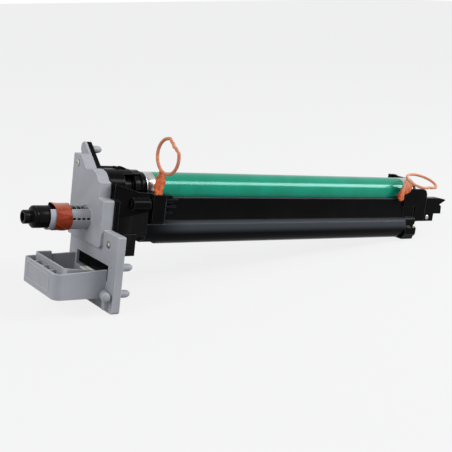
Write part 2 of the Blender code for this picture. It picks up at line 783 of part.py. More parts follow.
def frame_flange_outline():
    head = arc(EAR_CENTRE, EAR_R - 0.1 * MM, -70.0, 88.0, 9)
    slant = [SLANT_TOP, (SLANT_FOOT[0] + 0.4 * MM, SLANT_FOOT[1] + 0.6 * MM)]
    foot = scaled([
        (-19.2, 7.6),
        (-19.5, -6.5),
        (-29.2, -7.4),
        (-29.2, -57.7),
        (-13.8, -57.7),
        (-13.8, -50.0),
        (36.5, -50.0),
        (36.5, 20.0),
    ])
    return head + slant + shoulder(SHROUD_R, 62.0, 154.0) + foot


def beam_outline():
    """Section of the waste housing: lip, sloping face, ridge, round skirt, flat foot, shelf."""
    face = scaled([(-20.5, -26.6), (-25.6, -27.4), (-27.6, -29.6)])
    skirt = scaled([(-28.4, -34.0), (-28.0, -39.0), (-25.8, -43.8), (-22.4, -47.4), (-18.5, -49.5)])
    back = scaled([(8.0, -49.5), (12.0, -46.0), (14.5, -36.0), (17.0, -28.0), (32.0, -23.0)])
    shelf = [(SHELF_Y1, SHELF_Z), (LIP_Y - 0.9 * MM, SHELF_Z), (LIP_Y, -6.0 * MM)]
    return [(LIP_Y - 1.9 * MM, -6.0 * MM)] + face + skirt + back + shelf


def front_end_frame():
    flange = prism(frame_flange_outline(), COVER_DEPTH + GAP, COVER_DEPTH + GAP + FRAME_THICK)
    start = COVER_DEPTH + GAP + 1.0 * MM
    shroud = rod_x(DRUM_AXIS, start, SHROUD_X1, SHROUD_R, 36)
    step = rod_x(DRUM_AXIS, SHROUD_X1 - 1 * MM, SHROUD_STEP_X1, SHROUD_R - 0.7 * MM, 36)
    arm_top = scaled([(12.0, 7.4), (12.0, -37.0), (52.0, -37.0), (52.0, -0.8), (37.0, 0.0)])
    arm = prism(arm_top, -25.0 * MM, -21.0 * MM, "Y")
    low_body = prism(scaled([(12.0, -24.0), (12.0, -37.0), (46.0, -37.0), (46.0, -17.5)]), -28.8 * MM, -24.5 * MM, "Y")
    boss = rod_x((-25.0 * MM, -10.6 * MM), 30 * MM, 47 * MM, 6.0 * MM, 16)
    join(flange, shroud, step, arm, low_body, boss)

    end = BEAM_X0 - GAP
    floor = box(start, end - 0.2 * MM, -28.6 * MM, 15.0 * MM, -40.0 * MM, -36.5 * MM)
    leg = box(start, LEG_X1, -29.0 * MM, -14.0 * MM, LEG_BOTTOM, -38.0 * MM)
    back_wall = box(start, end - 0.4 * MM, 33.0 * MM, 35.5 * MM, -24.0 * MM, 14.0 * MM)
    bulkhead = prism(beam_outline(), end - 4 * MM, end)
    cut(bulkhead, box(0, NOTCH_X1, -40 * MM, 20 * MM, -60 * MM, NOTCH_Z))
    post = box(end - 4.4 * MM, end - 0.6 * MM, 16.5 * MM, 35.2 * MM, -20.0 * MM, 13.6 * MM)
    join(flange, floor, leg, back_wall, bulkhead, post)

    holder = box(ARM_X1 - 1 * MM, 64.0 * MM, -28.0 * MM, -19.0 * MM, -28.0 * MM, -1.6 * MM)
    wing = box(63.0 * MM, HOLDER_X1, -26.0 * MM, -20.5 * MM, -9.0 * MM, -2.4 * MM)
    rib = box(63.0 * MM, 66.0 * MM, -26.0 * MM, -20.5 * MM, -28.0 * MM, -8.5 * MM)
    slot = box(52.8 * MM, 63.4 * MM, -27.4 * MM, -23.2 * MM, -6.2 * MM, 0.0)
    join(flange, holder, wing, rib)
    cut(flange, slot)
    for x in (24.0 * MM, 29.5 * MM):
        clip = prism([
            (x, SHROUD_R - 1 * MM),
            (x, SHROUD_R + 1.6 * MM),
            (x + 2.0 * MM, SHROUD_R + 1.6 * MM),
            (x + 8.0 * MM, SHROUD_R - 1 * MM),
        ], -1.0 * MM, 6.0 * MM, "Y")
        join(flange, clip)

    left, right, top, sill = WINDOW
    tongue = box(COVER_DEPTH + 2 * GAP, COVER_DEPTH + GAP + 2.0 * MM, left + 1.5 * MM, right - 1.5 * MM,
                 sill - 1.5 * MM, -49.0 * MM)
    pad = box(6.0 * MM, COVER_DEPTH + 1.0 * MM, left - RUN_GAP, right + RUN_GAP, sill + 2.4 * MM, top - RUN_GAP)
    join(flange, tongue, pad)

    room = DRUM_R + DRUM_ROOM
    beam_room = rounded(inset(plain(beam_outline()), -GAP))
    cut(
        flange,
        rod_x(DRUM_AXIS, COVER_DEPTH + GAP + FRAME_THICK, 90 * MM, room, 36),
        rod_x(DRUM_AXIS, 0, 60 * MM, BUSH_R + GAP, 24),
        rod_x(AUGER_AXIS, 0, 60 * MM, PIPE_R + GAP, 16),
        box(SHROUD_OPEN_X0, SHROUD_STEP_X1 + 0.5 * MM, -SHROUD_R - 1.0 * MM, -4.5 * MM, -6.0 * MM, 14.0 * MM),
        rod_x(PIN_AXES[0], 0, 60 * MM, PIN_R + GAP, 12),
        prism(beam_room, BEAM_X0 - GAP + 0.05 * MM, 90 * MM),
    )
    for axis in COVER_SCREW_AXES[:1]:
        cut(flange, rod_x(axis, 0, 60 * MM, SCREW_R + GAP, 12))
    return finish(flange, "front_end_frame", BLACK_ABS)


def front_bush():
    bush = turned(DRUM_AXIS, [
        (COVER_DEPTH + GAP, BUSH_R),
        (COVER_DEPTH + GAP + FRAME_THICK + 3.0 * MM, BUSH_R),
        (COVER_DEPTH + GAP + FRAME_THICK + 3.0 * MM, JOURNAL_R + RUN_GAP),
        (COVER_DEPTH + GAP, JOURNAL_R + RUN_GAP),
    ], 28)
    return finish(bush, "front_bush", WHITE_ACETAL)


# Drum


def drum_tube():
    """Aluminium tube whose outer face carries the photoconductor coat between its bare ends."""
    inner = DRUM_R - DRUM_WALL
    tube = turned(DRUM_AXIS, [
        (DRUM_X0, inner),
        (DRUM_X0, DRUM_R - 0.3 * MM),
        (DRUM_X0 + 0.3 * MM, DRUM_R),
        (COAT_X0, DRUM_R),
        (COAT_X1, DRUM_R),
        (DRUM_X1 - 0.3 * MM, DRUM_R),
        (DRUM_X1, DRUM_R - 0.3 * MM),
        (DRUM_X1, inner),
    ], 40)
    baked(tube)
    finish(tube, "drum_tube", ALUMINIUM)
    tube.data.materials.append(GREEN_COAT)
    for face in tube.data.polygons:
        centre = tube.matrix_world @ face.center
        outside = math.hypot(centre.y, centre.z) > DRUM_R - DRUM_WALL / 2
        if outside and COAT_X0 < centre.x < COAT_X1:
            face.material_index = 1
    return tube


def drum_flange_front():
    """Plug in the tube's front end: two rims in front of the tube, and the journal that the bush carries."""
    spigot = DRUM_R - DRUM_WALL - GAP
    flange = turned(DRUM_AXIS, [
        (COVER_DEPTH + GAP, 0.0),
        (COVER_DEPTH + GAP, JOURNAL_R - 0.8 * MM),
        (COVER_DEPTH + GAP + 0.8 * MM, JOURNAL_R),
        (24.0 * MM, JOURNAL_R),
        (24.0 * MM, 11.0 * MM),
        (38.4 * MM, 11.0 * MM),
        (38.4 * MM, DRUM_R),
        (44.2 * MM, DRUM_R),
        (44.2 * MM, DRUM_R - 1.6 * MM),
        (45.8 * MM, DRUM_R - 1.6 * MM),
        (45.8 * MM, DRUM_R),
        (DRUM_X0 - GAP, DRUM_R),
        (DRUM_X0 - GAP, spigot),
        (DRUM_X0 + 12.0 * MM, spigot),
        (DRUM_X0 + 12.0 * MM, spigot - 2.0 * MM),
        (DRUM_X0 - 4.0 * MM, spigot - 2.0 * MM),
        (DRUM_X0 - 4.0 * MM, 0.0),
    ], 28)
    return finish(flange, "drum_flange_front", BLACK_GLOSS)


# Gears


def gear(axis, teeth, x0, x1, phase, twist=0.0):
    """Gear blank with straight-flanked teeth, sheared by a twist to make them helical."""
    pitch_r = GEAR_MODULE * teeth / 2
    tip_r = pitch_r + GEAR_MODULE - 0.05 * MM
    root_r = pitch_r - 1.25 * GEAR_MODULE
    tooth_angle = 2 * math.pi / teeth
    half_at_pitch = tooth_angle / 4 - GEAR_BACKLASH / 4 / pitch_r
    half_at_root = half_at_pitch + 0.45 * GEAR_MODULE / pitch_r
    half_at_tip = half_at_pitch - 0.42 * GEAR_MODULE / pitch_r
    outline = []
    for i in range(teeth):
        middle = phase + i * tooth_angle
        for radius, offset in (
            (root_r, -half_at_root),
            (tip_r, -half_at_tip),
            (tip_r, half_at_tip),
            (root_r, half_at_root),
        ):
            angle = middle + offset
            outline.append((axis[0] + radius * math.cos(angle), axis[1] + radius * math.sin(angle)))
    blank = prism(outline, x0, x1)
    if twist:
        centre = Vector((0.0, *axis))
        inverse = blank.matrix_world.inverted()
        for vertex in blank.data.vertices:
            place = blank.matrix_world @ vertex.co
            share = (place.x - x0) / (x1 - x0)
            turn = Matrix.Rotation(twist * share, 4, "X")
            vertex.co = inverse @ (turn @ (place - centre) + centre)
    return blank


def meshing_phase(bearing, leader_teeth, leader_phase, follower_teeth):
    """Phase that puts a tooth gap of the follower on a tooth of the leader, along their line of centres."""
    leader_pitch = 2 * math.pi / leader_teeth
    follower_pitch = 2 * math.pi / follower_teeth
    ahead = (bearing - leader_phase) / leader_pitch
    part_of_pitch = ahead - math.floor(ahead)
    return bearing + math.pi + follower_pitch * (0.5 + part_of_pitch)


def auger_drive_gear():
    """Gear on a shaft that ends in the three-lobed coupling for the machine's drive."""
    shaft = rod_x(DRIVE_AXIS, REAR_PLATE_X0 + 0.6 * MM, COUPLING_X1, COUPLING_R, 20)
    teeth = gear(DRIVE_AXIS, DRIVE_TEETH, GEAR_X0, GEAR_X0 + GEAR_WIDTH, 0.0, GEAR_HELIX)
    collar = rod_x(DRIVE_AXIS, GEAR_X0 + GEAR_WIDTH - 0.5 * MM, BEARING_X0 - GAP, 6.0 * MM, 20)
    join(shaft, teeth, collar)
    for i in range(3):
        angle = 2 * math.pi * i / 3
        reach = COUPLING_R + 0.9 * MM
        flute = (DRIVE_AXIS[0] + reach * math.cos(angle), DRIVE_AXIS[1] + reach * math.sin(angle))
        cut(shaft, rod_x(flute, BEARING_X0 + BEARING_WIDTH + 1 * MM, COUPLING_X1 + 1 * MM, 2.2 * MM, 10))
    return finish(shaft, "auger_drive_gear", BLACK_GLOSS)


def auger_gear():
    bearing = DRIVE_BEARING + math.pi
    phase = meshing_phase(bearing, DRIVE_TEETH, 0.0, AUGER_TEETH)
    twist = -GEAR_HELIX * DRIVE_TEETH / AUGER_TEETH
    hub = rod_x(AUGER_AXIS, REAR_PLATE_X1 + GAP, GEAR_X0 + GEAR_WIDTH + 1 * MM, 3.6 * MM, 16)
    join(hub, gear(AUGER_AXIS, AUGER_TEETH, GEAR_X0, GEAR_X0 + GEAR_WIDTH, phase, twist))
    cut(hub, rod_x(AUGER_AXIS, 390 * MM, 430 * MM, AUGER_SHAFT_R + GAP, 12))
    return finish(hub, "auger_gear", WHITE_ACETAL)


def flight(axis, start, turns, per_turn=8):
    """Helical blade for a conveyor screw, thinner at its rim."""
    thick = 1.6 * MM
    inner = AUGER_SHAFT_R - 0.5 * MM
    profile = ((inner, 0.0), (AUGER_R, thick * 0.2), (AUGER_R, thick * 0.8), (inner, thick))
    bm = bmesh.new()
    rings = []
    for i in range(turns * per_turn + 1):
        turn = 2 * math.pi * (i + 0.35) / per_turn
        x = start + AUGER_PITCH * i / per_turn
        rings.append([
            bm.verts.new((x + dx, axis[0] + radius * math.cos(turn), axis[1] + radius * math.sin(turn)))
            for radius, dx in profile
        ])
    for first, second in zip(rings, rings[1:]):
        for k in range(4):
            bm.faces.new((first[k], first[(k + 1) % 4], second[(k + 1) % 4], second[k]))
    bm.faces.new(rings[0])
    bm.faces.new(rings[-1])
    bmesh.ops.recalc_face_normals(bm, faces=bm.faces)
    if bm.calc_volume(signed=True) < 0:
        bmesh.ops.reverse_faces(bm, faces=bm.faces)
    mesh = bpy.data.meshes.new("flight")
    bm.to_mesh(mesh)
    bm.free()
    return add_object("flight", mesh)


def waste_auger():
    """Conveyor screw: a flight wound on a shaft, from the rear gear to the outlet pipe."""
    start = PIPE_TIP_X + 3.0 * MM
    turns = int((BEAM_X1 - 2.0 * MM - start) / AUGER_PITCH)
    shaft = rod_x(AUGER_AXIS, start - 1 * MM, GEAR_X0 + GEAR_WIDTH + 2.0 * MM, AUGER_SHAFT_R, 8)
    join(shaft, flight(AUGER_AXIS, start, turns))
    return finish(shaft, "waste_auger", BLACK_ABS)


# Waste housing


def skirt_pocket():
    """Section of the hollows that open downwards between the beam's ribs."""
    near = scaled([
        (-17.5, -53.0),
        (-19.3, -46.8),
        (-23.8, -42.3),
        (-25.9, -38.0),
        (-26.2, -33.0),
        (-24.6, -29.9),
        (-20.5, -28.9),
        (-8.0, -31.5),
    ])
    under_auger = [(AUGER_Y + y * MM, AUGER_Z + z * MM) for y, z in ((-8.7, -6.2), (-4.7, -8.8), (0.0, -9.6), (4.8, -8.6))]
    return near + under_auger + scaled([(11.0, -38.0), (9.5, -45.0), (6.0, -47.6), (6.0, -53.0)])


def waste_housing():
    """Beam with an open trough under the drum, a saddle for a seal at each end and ribs underneath."""
    body = prism(beam_outline(), BEAM_X0, BEAM_X1)
    trough_r = AUGER_R + 1.2 * MM
    hollow = scaled([(-16.3, -5.0), (-18.3, -24.4), (-6.0, -28.0)])
    hollow += arc(AUGER_AXIS, trough_r, 185.0, 350.0, 8)
    hollow += scaled([(12.5, -22.0), (12.5, -17.0)])
    trough = prism(hollow, BEAM_X0 + SADDLE_FRONT, BEAM_X1 - SADDLE_REAR)
    bore = rod_x(AUGER_AXIS, BEAM_X0 - 1 * MM, BEAM_X1 + 1 * MM, trough_r, 16)
    room = rod_x(DRUM_AXIS, BEAM_X0 - 1 * MM, BEAM_X1 + 1 * MM, SADDLE_R, 32)
    notch = box(BEAM_X0 - 1 * MM, NOTCH_X1, -40 * MM, 20 * MM, -60 * MM, NOTCH_Z)
    for x0, length in ((BEAM_X0, SADDLE_FRONT + 1 * MM), (BEAM_X1 - SADDLE_REAR - 1 * MM, SADDLE_REAR + 1 * MM)):
        join(body, box(x0, x0 + length, -17.0 * MM, 9.0 * MM, -19.0 * MM, -9.0 * MM))
    cut(body, trough, bore, room, notch)
    first = BEAM_X0 + 15 * MM
    bays = int((BEAM_X1 - first) / RIB_PITCH)
    pitch = (BEAM_X1 - 2 * MM - first) / bays
    for i in range(bays):
        cut(body, prism(skirt_pocket(), first + i * pitch + RIB_THICK, first + (i + 1) * pitch))
    for x in BLADE_SCREW_XS:
        cut(body, rod((x, BLADE_SCREW_Y, SHELF_Z - 4.2 * MM), (x, BLADE_SCREW_Y, 0), SCREW_R + GAP, sides=12))
    return finish(body, "waste_housing", BLACK_ABS)


def blade_bracket():
    """Folded steel sheet on the housing's shelf, with its rear edge turned up."""
    low = SHELF_Z + GAP
    high = low + BRACKET_THICK
    turn_y = SHELF_Y1 - 1.0 * MM
    section = rounded([
        (9.5 * MM, low, 0.0),
        (turn_y, low, 1.8 * MM),
        (turn_y, low + 4.0 * MM, 0.0),
        (turn_y - BRACKET_THICK, low + 4.0 * MM, 0.0),
        (turn_y - BRACKET_THICK, high, 0.6 * MM),
        (9.5 * MM, high, 0.0),
    ])
    bracket = prism(section, BLADE_X0, BLADE_X1)
    for x in BLADE_SCREW_XS:
        hole = rod((x, BLADE_SCREW_Y, low - 1 * MM), (x, BLADE_SCREW_Y, high + 1 * MM), SCREW_R + GAP, sides=12)
        cut(bracket, hole)
    return finish(bracket, "blade_bracket", STEEL)


def cleaning_blade():
    """Urethane strip whose free edge wipes the drum."""
    low = SHELF_Z + 2 * GAP + BRACKET_THICK
    tip = -math.sqrt(DRUM_R ** 2 - (4.2 * MM) ** 2) - GAP
    section = [
        (16.5 * MM, low),
        (16.5 * MM, low + BLADE_THICK),
        (4.2 * MM, tip),
        (4.2 * MM, tip - BLADE_THICK),
        (8.0 * MM, low),
    ]
    return finish(prism(section, BLADE_X0 + 1 * MM, BLADE_X1 - 1 * MM), "cleaning_blade", URETHANE)


def slotted_screw(name, seat, way, length, head_r, head_height=1.6 * MM):
    """Screw along Y or Z from its seat, with a slotted head; way is the outward direction."""
    seat = Vector(seat)
    way = Vector(way)
    head = rod(seat, seat + way * head_height, head_r, head_r * 0.8, 14)
    shank = rod(seat + way * 0.5 * MM, seat - way * length, SCREW_R, sides=12)
    blade = box(-2 * head_r, 2 * head_r, -0.35 * MM, 0.35 * MM, -0.8 * MM, 0.8 * MM)
    blade.rotation_euler = way.to_track_quat("Z", "X").to_euler()
    blade.location = seat + way * head_height
    return finish(cut(join(head, shank), blade), name, STEEL)


def blade_screw(name, x):
    seat = (x, BLADE_SCREW_Y, SHELF_Z + 2 * GAP + BRACKET_THICK)
    return slotted_screw(name, seat, (0, 0, 1), 6.0 * MM, SCREW_HEAD_R)


def recovery_sheet():
    edge = -math.sqrt((DRUM_R + 2 * GAP) ** 2 - (5.5 * MM) ** 2)
    section = [
        (LIP_Y - 1.8 * MM, -5.7 * MM),
        (edge, -5.7 * MM),
        (edge - 0.1 * MM, -5.3 * MM),
        (LIP_Y - 1.8 * MM, -5.3 * MM),
    ]
    return finish(prism(section, BLADE_X0 + 1 * MM, BLADE_X1 - 1 * MM), "recovery_sheet", FILM)


def end_seal(name, x0, x1):
    """Felt strip on a saddle of the housing, under the drum's bare end."""
    outer = shoulder(SADDLE_R - GAP, 205.0, 295.0, 9)
    inner = shoulder(DRUM_R + GAP, 295.0, 205.0, 9)
    return finish(prism(outer + inner, x0, x1), name, FELT)


# Charging unit


def roller(name, axis, radius, bore, mat, sides):
    body = turned(axis, [(CHARGE_X0, bore), (CHARGE_X0, radius), (CHARGE_X1, radius), (CHARGE_X1, bore)], sides)
    return finish(body, name, mat)


def roller_shaft(name, axis, radius, sides):
    return finish(rod_x(axis, SHAFT_X0, SHAFT_X1, radius, sides), name, STEEL)


def charge_housing():
    """Cover of the charging unit, open towards the drum."""
    wall = HOUSING_WALL
    outer = [
        (HOUSING_Y0, HOUSING_FLOOR, 0.0),
        (HOUSING_Y1, HOUSING_FLOOR, 2.0 * MM),
        (HOUSING_Y1, 7.6 * MM, 2.5 * MM),
        (HOUSING_Y0, 10.6 * MM, 0.0),
    ]
    inner = [
        (HOUSING_Y0 - 2 * MM, HOUSING_FLOOR + wall),
        (HOUSING_Y1 - wall, HOUSING_FLOOR + wall),
        (HOUSING_Y1 - wall, 7.6 * MM - wall),
        (HOUSING_Y0, 10.6 * MM - wall),
        (HOUSING_Y0 - 2 * MM, 10.6 * MM - wall),
    ]
    shell = prism(rounded(outer), BEAM_X0, BEAM_X1)
    cut(shell, prism(inner, BEAM_X0 + 2 * MM, BEAM_X1 - 2 * MM))
    return finish(shell, "charge_housing", BLACK_ABS)


def charge_bearing(name, x0):
    """Sliding block that carries the charge roller and its cleaning roller."""
    x1 = x0 + CARRIAGE_WIDTH
    block = box(x0, x1, CARRIAGE_Y0, CARRIAGE_Y1, HOUSING_FLOOR + HOUSING_WALL + RUN_GAP, 5.6 * MM)
    cut(
        block,
        rod_x(CHARGE_AXIS, x0 - 1 * MM, x1 + 1 * MM, CHARGE_SHAFT_R + RUN_GAP, 16),
        rod_x(CLEANER_AXIS, x0 - 1 * MM, x1 + 1 * MM, CLEANER_SHAFT_R + RUN_GAP, 12),
    )
    return finish(block, name, WHITE_ACETAL)


def charge_spring(name, x0):
    """Coil that presses a charge bearing towards the drum."""
    x = x0 + CARRIAGE_WIDTH / 2
    wire_r = 0.3 * MM
    start = (x, CARRIAGE_Y1 + wire_r + GAP, -1.5 * MM)
    end = (x, HOUSING_Y1 - HOUSING_WALL - wire_r - GAP, -1.5 * MM)
    return finish(wire(helix(start, end, 2.0 * MM, 4.0, 8), wire_r, resolution=0), name, SPRING_STEEL)


# Rear end


def drum_flange_rear():
    """Plug in the tube's rear end with the splined socket for the machine's drum shaft."""
    spigot = DRUM_R - DRUM_WALL - GAP
    rim_x = DRUM_X1 + GAP
    plug = turned(DRUM_AXIS, [
        (DRUM_X1 - 12.0 * MM, SOCKET_R),
        (DRUM_X1 - 12.0 * MM, spigot),
        (rim_x, spigot),
        (rim_x, DRUM_R - 0.4 * MM),
        (rim_x + 0.8 * MM, DRUM_R - 0.4 * MM),
        (rim_x + 0.8 * MM, JOURNAL_R),
        (REAR_PLATE_X1 - 0.4 * MM, JOURNAL_R),
        (REAR_PLATE_X1 - 0.4 * MM, SOCKET_R),
    ], 36)
    for i in range(6):
        angle = math.pi * i / 3
        spline = ((SOCKET_R + 0.2 * MM) * math.cos(angle), (SOCKET_R + 0.2 * MM) * math.sin(angle))
        join(plug, rod_x(spline, DRUM_X1 - 11.0 * MM, REAR_PLATE_X1 - 1.0 * MM, 0.8 * MM, 8))
    return finish(plug, "drum_flange_rear", BLACK_GLOSS)


def rear_bush():
    bush = turned(DRUM_AXIS, [
        (REAR_PLATE_X0 + 0.2 * MM, BUSH_R),
        (REAR_PLATE_X1, BUSH_R),
        (REAR_PLATE_X1, JOURNAL_R + RUN_GAP),
        (REAR_PLATE_X0 + 0.2 * MM, JOURNAL_R + RUN_GAP),
    ], 28)
    return finish(bush, "rear_bush", WHITE_ACETAL)


def shoe_outline():
    """Section of the rear foot, slightly proud of the beam."""
    face = scaled([(-19.4, -6.0), (-21.6, -26.0), (-24.2, -26.6), (-25.0, -31.0)])
    skirt = scaled([(-25.4, -35.0), (-28.4, -37.5), (-28.4, -44.5), (-25.5, -47.5), (-24.5, -50.7)])
    back = scaled([(8.8, -50.7), (13.0, -46.6), (15.6, -36.2), (18.0, -29.0), (33.2, -24.0)])
    shelf = [(33.2 * MM, SHELF_Z), (-18.0 * MM, SHELF_Z), (-17.4 * MM, -6.0 * MM)]
    return face + skirt + back + shelf


def shoe_pocket():
    """Section of the hollow under the rear foot."""
    near = scaled([(-21.5, -53.0), (-22.0, -47.0), (-22.4, -33.0), (-20.5, -30.5), (-8.0, -31.5)])
    return near + skirt_pocket()[8:]


def rear_plate_outline():
    """End plate: foot, open side behind the drum and a low round top."""
    low = [(CHEEK_Y, 4.5 * MM), (CHEEK_Y, AUGER_Z - 3.4 * MM), (-9.0 * MM, AUGER_Z - 3.9 * MM)]
    foot = low + [(-6.0 * MM, AUGER_Z - 10.6 * MM), (10.5 * MM, AUGER_Z - 11.1 * MM)] + scaled([(15.6, -36.2), (18.0, -29.0)])
    back = scaled([(33.2, -24.0), (35.5, -20.0), (35.5, 9.0), (24.0, 9.0), (24.0, 15.6), (19.5, 15.9), (15.8, 14.8)])
    return foot + back + [(5.2 * MM, 14.9 * MM)] + shoulder(14.8 * MM, 78.0, 158.0)


def case_outline():
    top = DRIVE_AXIS[1] + 12.0 * MM
    around_auger = [(AUGER_Y + y * MM, AUGER_Z + z * MM) for y, z in (
        (-12.2, -3.7),
        (-8.7, -9.6),
        (6.8, -10.4),
        (11.4, -6.2),
        (11.4, 7.8),
    )]
    return [(CHEEK_Y, top), (CHEEK_Y, AUGER_Z - 3.2 * MM)] + around_auger + [(5.5 * MM, top)]


def rear_end_frame():
    """Rear foot, end plate, the gear case behind it and the cheek at its side, in one moulding."""
    shoe = prism(shoe_outline(), BEAM_X1 + GAP, SHOE_X1)
    inner_shoe = [(max(y, CHEEK_Y + 2.2 * MM), z) for y, z in shoe_outline()]
    tail = prism(inner_shoe, SHOE_X1 - 1 * MM, REAR_PLATE_X0 + 1 * MM)
    plate = prism(rear_plate_outline(), REAR_PLATE_X0, REAR_PLATE_X1)
    case = prism(case_outline(), REAR_PLATE_X1 - 1 * MM, CASE_X1)
    room = prism(rounded(inset(plain(case_outline()), CASE_WALL)), REAR_PLATE_X1, CASE_X1 + 1 * MM)
    cut(case, room)
    cheek = prism(scaled([
        (381.3, -14.0),
        (381.3, -1.2),
        (387.5, 4.9),
        (391.0, 6.0),
        (409.5, 6.2),
        (413.6, 4.4),
        (416.0, 0.0),
        (416.0, -14.0),
    ]), CHEEK_Y, CHEEK_Y + CHEEK_THICK, "Y")
    post = box(393.5 * MM, REAR_PLATE_X0 + 1 * MM, 18.6 * MM, 22.5 * MM, -22.0 * MM, 16.0 * MM)
    tongue_root = box(CASE_X1 - 4 * MM, CASE_X1, -20.5 * MM, -12.5 * MM, -30.2 * MM, -23.4 * MM)
    tongue = box(CASE_X1 - 1 * MM, 424.0 * MM, -18.8 * MM, -12.5 * MM, -29.8 * MM, -23.4 * MM)
    x, z, y = REAR_SCREWS[1]
    seat = rod((x, y, z), (x, y + 4.0 * MM, z), 2.6 * MM, sides=14)
    join(shoe, tail, plate, case, cheek, post, tongue_root, tongue, seat)
    cut(
        shoe,
        prism(shoe_pocket(), BEAM_X1 + 3.5 * MM, SHOE_X1 - 2 * MM),
        rod_x(DRUM_AXIS, BEAM_X1 - 1 * MM, REAR_PLATE_X0 - 0.2 * MM, DRUM_R + DRUM_ROOM, 32),
        rod_x(DRUM_AXIS, BEAM_X1 - 1 * MM, REAR_PLATE_X1 + 0.2 * MM, BUSH_R + GAP, 24),
        rod_x(AUGER_AXIS, BEAM_X1 - 1 * MM, CASE_X1, AUGER_SHAFT_R + RUN_GAP, 14),
        rod_x(DRIVE_AXIS, REAR_PLATE_X0 + 0.3 * MM, CASE_X1, COUPLING_R + RUN_GAP, 20),
    )
    for x, z, y in REAR_SCREWS:
        cut(shoe, rod((x, y - 1 * MM, z), (x, y + 8.6 * MM, z), SCREW_R + GAP, sides=12))
    x, z, y = REAR_SCREWS[1]
    cut(shoe, rod((x, y - 4 * MM, z), (x, y - 0.1 * MM, z), 2.4 * MM, sides=14))
    return finish(shoe, "rear_end_frame", BLACK_ABS)


def rear_cover():
    """Lid of the gear case with the hooked hood over the coupling."""
    start = CASE_X1 + GAP
    lid = prism(case_outline(), start, start + 2.4 * MM)
    y, z = DRIVE_AXIS
    hood = prism([
        (CHEEK_Y, z + 11.6 * MM),
        (CHEEK_Y, z - 14.8 * MM),
        (y + 6.9 * MM, z - 14.8 * MM),
        (y + 11.9 * MM, z - 10.8 * MM),
        (y + 11.9 * MM, z + 3.2 * MM),
        (y + 6.9 * MM, z + 6.7 * MM),
        (y + 1.3 * MM, z + 8.4 * MM),
    ], start + 1 * MM, 431.0 * MM)
    hook = prism([(x * MM, z + rise * MM) for x, rise in (
        (430.0, 12.0),
        (438.0, 11.9),
        (446.6, 10.6),
        (447.6, 9.3),
        (441.6, 6.0),
        (438.7, 4.7),
        (442.0, 2.4),
        (442.8, -6.2),
        (430.0, -6.2),
    )], CHEEK_Y, -12.5 * MM, "Y")
    join(lid, hood, hook)
    cut(
        lid,
        rod_x(DRIVE_AXIS, start - 1 * MM, 450 * MM, 6.4 * MM, 24),
        rod_x(DRIVE_AXIS, start - 1 * MM, BEARING_X0 + BEARING_WIDTH, BEARING_R + GAP, 28),
        box(start - 1 * MM, 424.3 * MM, -19.1 * MM, -12.2 * MM, -30.1 * MM, -23.1 * MM),
    )
    x, z, y = REAR_SCREWS[0]
    cut(lid, rod((x, y - 1 * MM, z), (x, y + 8 * MM, z), SCREW_R + GAP, sides=12))
    return finish(lid, "rear_cover", BLACK_ABS)


def drive_bearing():
    ring = turned(DRIVE_AXIS, [
        (BEARING_X0, BEARING_R),
        (BEARING_X0 + BEARING_WIDTH - GAP, BEARING_R),
        (BEARING_X0 + BEARING_WIDTH - GAP, COUPLING_R + RUN_GAP),
        (BEARING_X0, COUPLING_R + RUN_GAP),
    ], 24)
    return finish(ring, "drive_bearing", STEEL)


def rear_screw(name, place, head_r):
    x, z, y = place
    return slotted_screw(name, (x, y - GAP, z), (0, -1, 0), 7.4 * MM, head_r)


# Transport tabs


def finger_ring(centre, across, up, outer_r):
    """Ring of round wire in the plane of two directions, with three grip notches on one side."""
    across = Vector(across).normalized()
    up = Vector(up).normalized()
    points = []
    for i in range(30):
        angle = 12.0 * i
        notch = 0.0
        if 20.0 < angle < 85.0:
            notch = 1.1 * MM * abs(math.sin(math.radians(3 * (angle - 20.0) * 180.0 / 65.0)))
        reach = outer_r - TAB_WIRE_R - notch
        turn = math.radians(angle)
        points.append(Vector(centre) + across * (reach * math.cos(turn)) + up * (reach * math.sin(turn)))
    return wire(points, TAB_WIRE_R, closed=True)


def pull_tab(name, outline, foot, lean, ring):
    """Strip from (x, z) points, leant about an X line through its foot (y, z), with a finger ring."""
    strip = prism(outline, foot[0] - TAB_THICK / 2, foot[0] + TAB_THICK / 2, "Y")
    hinge = Vector((0.0, *foot))
    turn = Matrix.Translation(hinge) @ Matrix.Rotation(lean, 4, "X") @ Matrix.Translation(-hinge)
    strip.matrix_world = turn @ strip.matrix_world
    return finish(join(strip, ring), name, ORANGE_PP)


def pull_tab_front():
    outline = scaled([
        (54.2, -5.6),
        (62.4, -5.6),
        (62.9, -1.0),
        (65.2, 8.5),
        (68.5, 17.0),
        (66.5, 21.5),
        (59.0, 21.5),
        (57.2, 18.0),
        (56.2, 12.0),
        (52.4, 3.0),
        (53.2, -1.0),
    ])
    ring = finger_ring((61.0 * MM, -28.0 * MM, 34.0 * MM), (-0.06, -1.0, 0.0), (0.0, 0.0, 1.0), TAB_RING_R)
    return pull_tab("pull_tab_front", outline, (-25.4 * MM, -2.0 * MM), math.radians(-14.0), ring)


def pull_tab_rear():
    outline = scaled([
        (367.4, -2.6),
        (372.3, -8.2),
        (377.0, -7.2),
        (378.8, -1.0),
        (383.0, -0.5),
        (388.8, 6.2),
        (388.3, 12.0),
        (383.4, 19.6),
        (378.4, 19.4),
        (376.8, 14.5),
        (367.8, -0.6),
    ])
    ring = finger_ring((391.6 * MM, -31.6 * MM, 16.4 * MM), (0.781, -0.603, -0.165), (-0.60, -0.75, -0.28), REAR_RING_R)
    return pull_tab("pull_tab_rear", outline, (CHEEK_Y - GAP - TAB_THICK / 2, 0.0), 0.0, ring)


